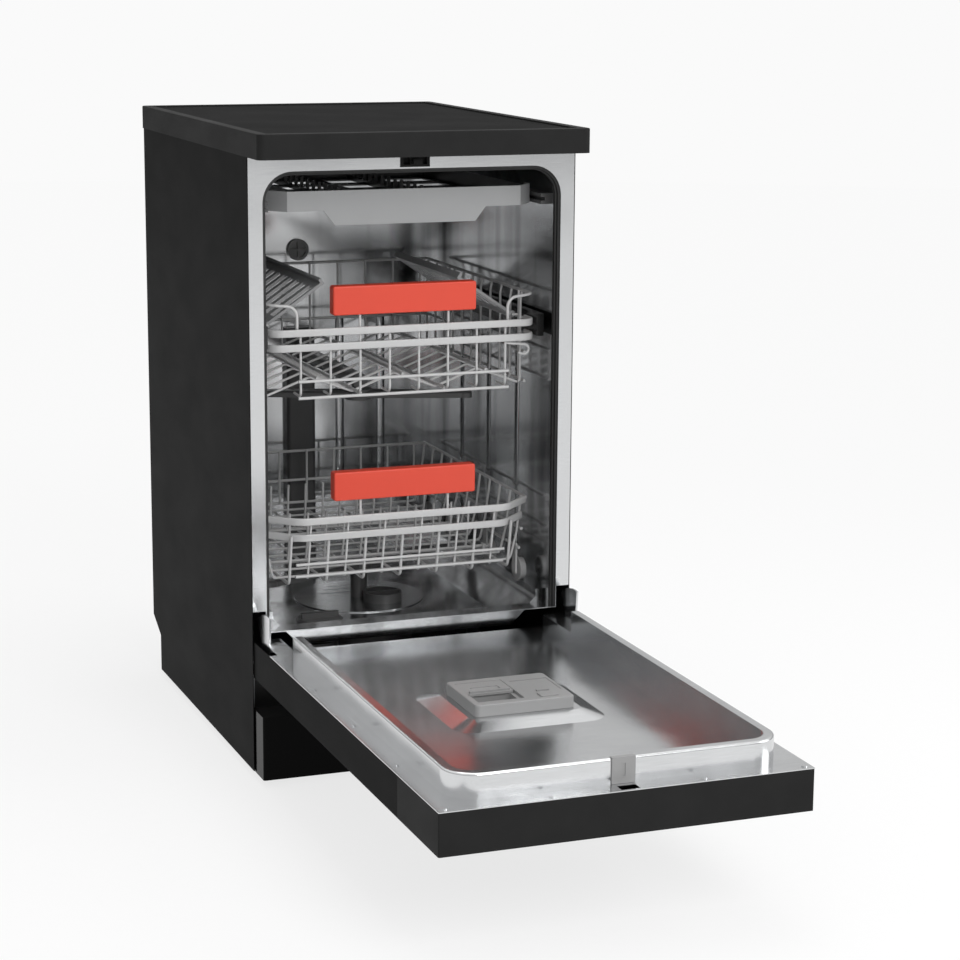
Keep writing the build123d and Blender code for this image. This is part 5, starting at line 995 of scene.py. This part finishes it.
@dataclass
class UpperRack(Basket):
    """The railed upper basket: side hoops, zigzag floor, round-cornered front bars and cup shelf rods."""

    body: str = "upper_rack"
    back: float = 0.546
    corner: float = 0.04
    bend: float = 0.008
    bar_drop: float = 0.0195
    post_top: float = 0.629
    stile_half: float = 0.1728
    base_z: float = 0.5
    middle_z: float = 0.54
    top_z: float = 0.623
    half: float = 0.187
    bar_z: float = 0.591
    bar_bend_cut: float = 0.003
    zigzag_count: int = 7
    zigzag_half: float = 0.1773
    zigzag_sink: float = 0.002
    floor_lift: float = 0.022
    line_rise: float = 0.0015
    line_ends: tuple[float, float] = (0.012, 0.0122)
    side_inset: float = 0.002
    side_line_drop: float = 0.005
    hoop_top: tuple[float, float] = (0.0006, 0.0005)
    hoop_bend_drop: float = 0.012
    hoop_foot: float = 0.003
    hoop_over: float = 0.001
    rail_bend: float = 0.014
    rail_start: float = 0.012
    rail_end: float = 0.002
    rail_drop: float = 0.003
    corner_post_y: float = 0.0075
    corner_post_foot: float = 0.006
    upright_y: float = 0.0055
    upright_count: int = 8
    upright_inset: float = 0.004
    upright_foot: tuple[float, float] = (0.03, 0.002)
    cross_rise: float = 0.022
    back_row_end: float = 0.0042
    hook_x: tuple[float, float] = (0.177, 0.162)
    hook_z: tuple[float, float, float, float] = (0.5595, 0.5555, 0.5405, 0.5455)
    shelf_x: float = 0.174
    shelf_z: float = 0.59
    shelf_front: float = 0.16
    shelf_length: float = 0.274

    def bar_path(self, top: float) -> Path:
        """The middle line of a front bar with its round corners."""
        z = top - self.bar_tall / 2
        half = self.half - self.bar_thick / 2
        face = self.front + self.bar_thick / 2
        corners = [
            (-half, self.front + self.corner, z),
            (-half, face, z),
            (half, face, z),
            (half, self.front + self.corner, z),
        ]
        return round_path(corners, self.corner - self.bar_bend_cut, 10)

    def build_floor(self) -> None:
        """The zigzag cross wires and the long wires along their bends."""
        low = self.base_z - self.zigzag_sink
        places = steps(self.zigzag_count, -self.zigzag_half, self.zigzag_half)
        zigzags = [
            [(x, y, low + (self.floor_lift if k % 2 else 0.0)) for k, x in enumerate(places)]
            for y in self.hoop_places()
        ]
        start = self.front + self.line_ends[0]
        end = self.back - self.line_ends[1]
        lines = []
        for k, x in enumerate(places[1:-1]):
            z = self.base_z + self.line_rise + (0.0 if k % 2 else self.floor_lift)
            lines.append([(x, start, z), (x, end, z)])
        self.place("upper_basket_floor", [self.thin(zigzags), self.thick(lines)], "upper_rack_floor")

    def build_sides(self) -> None:
        """The side hoops, long wires and the rods on which the cup shelves turn."""
        x = self.half - self.side_inset
        inner = x - self.weld_gap
        low = self.base_z - self.hoop_over
        hoops = [
            [
                (x - self.hoop_top[0], y, self.top_z + self.hoop_top[1]),
                (inner, y, self.top_z - self.hoop_bend_drop),
                (inner, y, low),
                (inner - self.hoop_foot, y, low),
            ]
            for y in self.hoop_places()
        ]
        start = self.front + self.corner
        end = self.back - self.end_gap
        heights = (self.base_z, self.middle_z, self.bar_z - self.side_line_drop)
        lines = [[(x, start, z), (x, end, z)] for z in heights]
        post_x = self.half - self.corner
        post_y = self.front + self.corner_post_y
        lines.append(
            [
                (x, self.back - self.rail_end, self.top_z),
                (x, self.front + self.rail_start, self.top_z),
                (post_x, post_y, self.top_z - self.rail_drop),
                (post_x, post_y, self.bar_z - self.corner_post_foot),
            ]
        )
        shelf_end = self.shelf_front + self.shelf_length
        brackets = []
        for y in (self.shelf_front, shelf_end):
            brackets.append([(self.shelf_x, y, self.shelf_z), (x, y, self.shelf_z)])
            brackets.append([(inner, y, self.base_z), (inner, y, self.top_z)])
        rod = [(self.shelf_x, self.shelf_front, self.shelf_z), (self.shelf_x, shelf_end, self.shelf_z)]
        meshes = [
            self.thin(both_sides(hoops + brackets)),
            self.wires.bend(both_sides(lines), self.wire / 2, self.rail_bend, COATING),
            self.rods(both_sides([rod])),
        ]
        self.place("upper_basket_sides", meshes, "upper_rack_sides")

    def build_ends(self) -> None:
        """The front grid with its two round-cornered bars, grip posts and corner hook, and the back grid."""
        y = self.front + self.upright_y
        reach = self.half - self.corner
        side = reach - self.upright_inset
        top = self.bar_z - self.side_line_drop
        back, rise = self.upright_foot
        low = self.base_z + self.hoop_over
        uprights = [
            [(x, y + back, self.base_z + rise), (x, y, low), (x, y, top)]
            for x in steps(self.upright_count, -side, side)
        ]
        uprights += self.grip_posts(y, top)
        far, near = self.hook_x
        uprights.append([(x, y, z) for x, z in zip((side, far, far, near), self.hook_z)])
        inner = y - self.weld_gap
        heights = (self.base_z, self.base_z + self.cross_rise)
        cross = [[(-reach, inner, z), (reach, inner, z)] for z in heights]
        half = self.half - self.back_row_end
        rows = [(z, half) for z in (self.base_z, self.middle_z, self.top_z)]
        rear, stiles = self.back_grid(rows, self.base_z - self.hoop_over, self.top_z + self.hoop_over)
        meshes = [self.front_bars(self.bar_z), self.thick(cross + rear), self.thin(uprights + stiles)]
        self.place("upper_basket_ends", meshes, "upper_rack_ends")

    def build(self) -> None:
        """Build the whole basket."""
        self.build_floor()
        self.build_sides()
        self.build_ends()


@dataclass(frozen=True)
class Lamp:
    """A soft lamp: where it hangs, its width and height, its power in watts and the point that it faces."""

    name: str
    place: Point
    size: tuple[float, float]
    power: float
    aim: Point

    def build(self) -> None:
        """Hang the lamp."""
        data = bpy.data.lights.new(self.name, "AREA")
        data.shape = "RECTANGLE"
        data.size = self.size[0]
        data.size_y = self.size[1]
        data.energy = self.power
        lamp = bpy.data.objects.new(self.name, data)
        lamp.location = self.place
        lamp.rotation_euler = (Vector(self.aim) - Vector(self.place)).to_track_quat("-Z", "Y").to_euler()
        bpy.context.scene.collection.objects.link(lamp)


LAMPS = (
    Lamp("key_lamp", (0.4, -3.1, 2.3), (1.6, 1.6), 56.0, (0.0, 0.0, 0.4)),
    Lamp("side_lamp", (2.6, -1.3, 1.6), (1.4, 2.0), 30.0, (0.0, 0.0, 0.4)),
    Lamp("top_lamp", (0.2, 0.3, 3.0), (1.8, 1.8), 26.0, (0.0, 0.1, 0.5)),
)


@dataclass
class Studio:
    """The camera, the soft lamps, the pale floor and the white surroundings."""

    camera_place: Point = (-1.0717, -2.9836, 1.0686)
    azimuth: float = -20.87
    elevation: float = 11.85
    roll: float = 0.4
    lens: float = 93.84
    film_width: float = 36.0
    far_limit: float = 50.0
    floor_radius: float = 9.0
    floor_segments: int = 96
    floor_levels: tuple[float, float] = (0.9, 0.94)
    floor_roughness: float = 0.5
    glow_shares: tuple[float, float] = (0.8, 0.985)
    ground_level: float = 0.956
    shadow_reach: float = 0.7
    fade_reach: float = 2.6
    fill_strength: float = 0.62
    band_low: float = 0.12
    band_high: float = 0.6
    band_level: float = 0.42

    def build_camera(self) -> None:
        """Stand the camera where the photograph was taken from."""
        azimuth = math.radians(self.azimuth)
        elevation = math.radians(self.elevation)
        level = Vector((math.sin(azimuth), -math.cos(azimuth), 0.0))
        back = level * math.cos(elevation) + UPWARDS * math.sin(elevation)
        right = (-back).cross(UPWARDS).normalized()
        up = right.cross(-back)
        roll = math.radians(self.roll)
        across = right * math.cos(roll) + up * math.sin(roll)
        upwards = up * math.cos(roll) - right * math.sin(roll)
        data = bpy.data.cameras.new("camera")
        data.lens = self.lens
        data.sensor_width = self.film_width
        data.clip_end = self.far_limit
        camera = bpy.data.objects.new("camera", data)
        turn = Matrix((across, upwards, back)).transposed().to_4x4()
        camera.matrix_world = Matrix.Translation(self.camera_place) @ turn
        bpy.context.scene.collection.objects.link(camera)
        bpy.context.scene.camera = camera

    def build_world(self) -> None:
        """White surroundings, dimmer at the horizon for mirrored rays, and a softer light on the object."""
        world = bpy.data.worlds.new("surroundings")
        net = Net(world)
        camera, glossy, through = net.rays()
        seen = net.math("MAXIMUM", camera, glossy + through)
        levels = {"Value": seen, "To Min": self.fill_strength, "To Max": self.ground_level}
        light = net.value("ShaderNodeMapRange", inputs=levels)
        toward = net.value("ShaderNodeTexCoord", output="Generated")
        height = net.value("ShaderNodeSeparateXYZ", inputs={0: toward}, output="Z")
        edges = {"From Min": self.band_low, "From Max": self.band_high, "To Min": self.band_level}
        band = net.value("ShaderNodeMapRange", inputs={"Value": height} | edges)
        pick = net.value("ShaderNodeMix", inputs={"Factor": glossy, "A": 1.0, "B": band})
        inputs = {"Color": grey(1.0), "Strength": light * pick}
        back = net.value("ShaderNodeBackground", inputs=inputs)
        net.node("ShaderNodeOutputWorld", inputs={"Surface": back})
        bpy.context.scene.world = world

    def build_floor(self) -> None:
        """A large pale floor that fades into the surroundings and keeps a soft shadow."""
        shape = bmesh.new()
        bmesh.ops.create_circle(
            shape, cap_ends=True, cap_tris=True, segments=self.floor_segments, radius=self.floor_radius
        )
        floor = link_mesh("floor", closed("floor", shape))
        material = bpy.data.materials.new("pale_floor")
        net = Net(material)
        low, high = self.floor_levels
        white = net.blend(net.noise(*SPECKLE), grey(low), grey(high))
        matt = net.value("ShaderNodeBsdfDiffuse", inputs={"Color": white, "Roughness": self.floor_roughness})
        glow = net.value("ShaderNodeEmission", inputs={"Color": grey(1.0), "Strength": self.ground_level})
        away = net.value("ShaderNodeVectorMath", {"operation": "LENGTH"}, {0: net.coordinates}, "Value")
        past = (away - self.shadow_reach) * (1.0 / (self.fade_reach - self.shadow_reach))
        faded = net.math("MINIMUM", net.math("MAXIMUM", past, 0.0), 1.0)
        camera, glossy, through = net.rays()
        seen = net.math("MINIMUM", camera + glossy + through, 1.0)
        share = seen * net.between(faded, *self.glow_shares)
        mixed = net.value("ShaderNodeMixShader", inputs={0: share, 1: matt, 2: glow})
        net.node("ShaderNodeOutputMaterial", inputs={"Surface": mixed})
        floor.data.materials.append(material)

    def build(self) -> None:
        """Build the whole studio."""
        bpy.context.scene.view_settings.view_transform = "Standard"
        self.build_camera()
        self.build_world()
        self.build_floor()
        for lamp in LAMPS:
            lamp.build()


def main() -> None:
    """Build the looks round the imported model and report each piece."""
    logging.basicConfig(level=logging.INFO, format="%(name)s: %(message)s")
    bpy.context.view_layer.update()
    Studio().build()
    workshop = Workshop()
    for row in frame["record"]["subparts"]:
        workshop.dress(row["node"], row["material_slot"])
    wires = WireWorks(workshop)
    for assembly in (LowerRack(wires, workshop), Wheels(workshop), UpperRack(wires, workshop)):
        assembly.build()


if __name__ == "__main__":
    main()
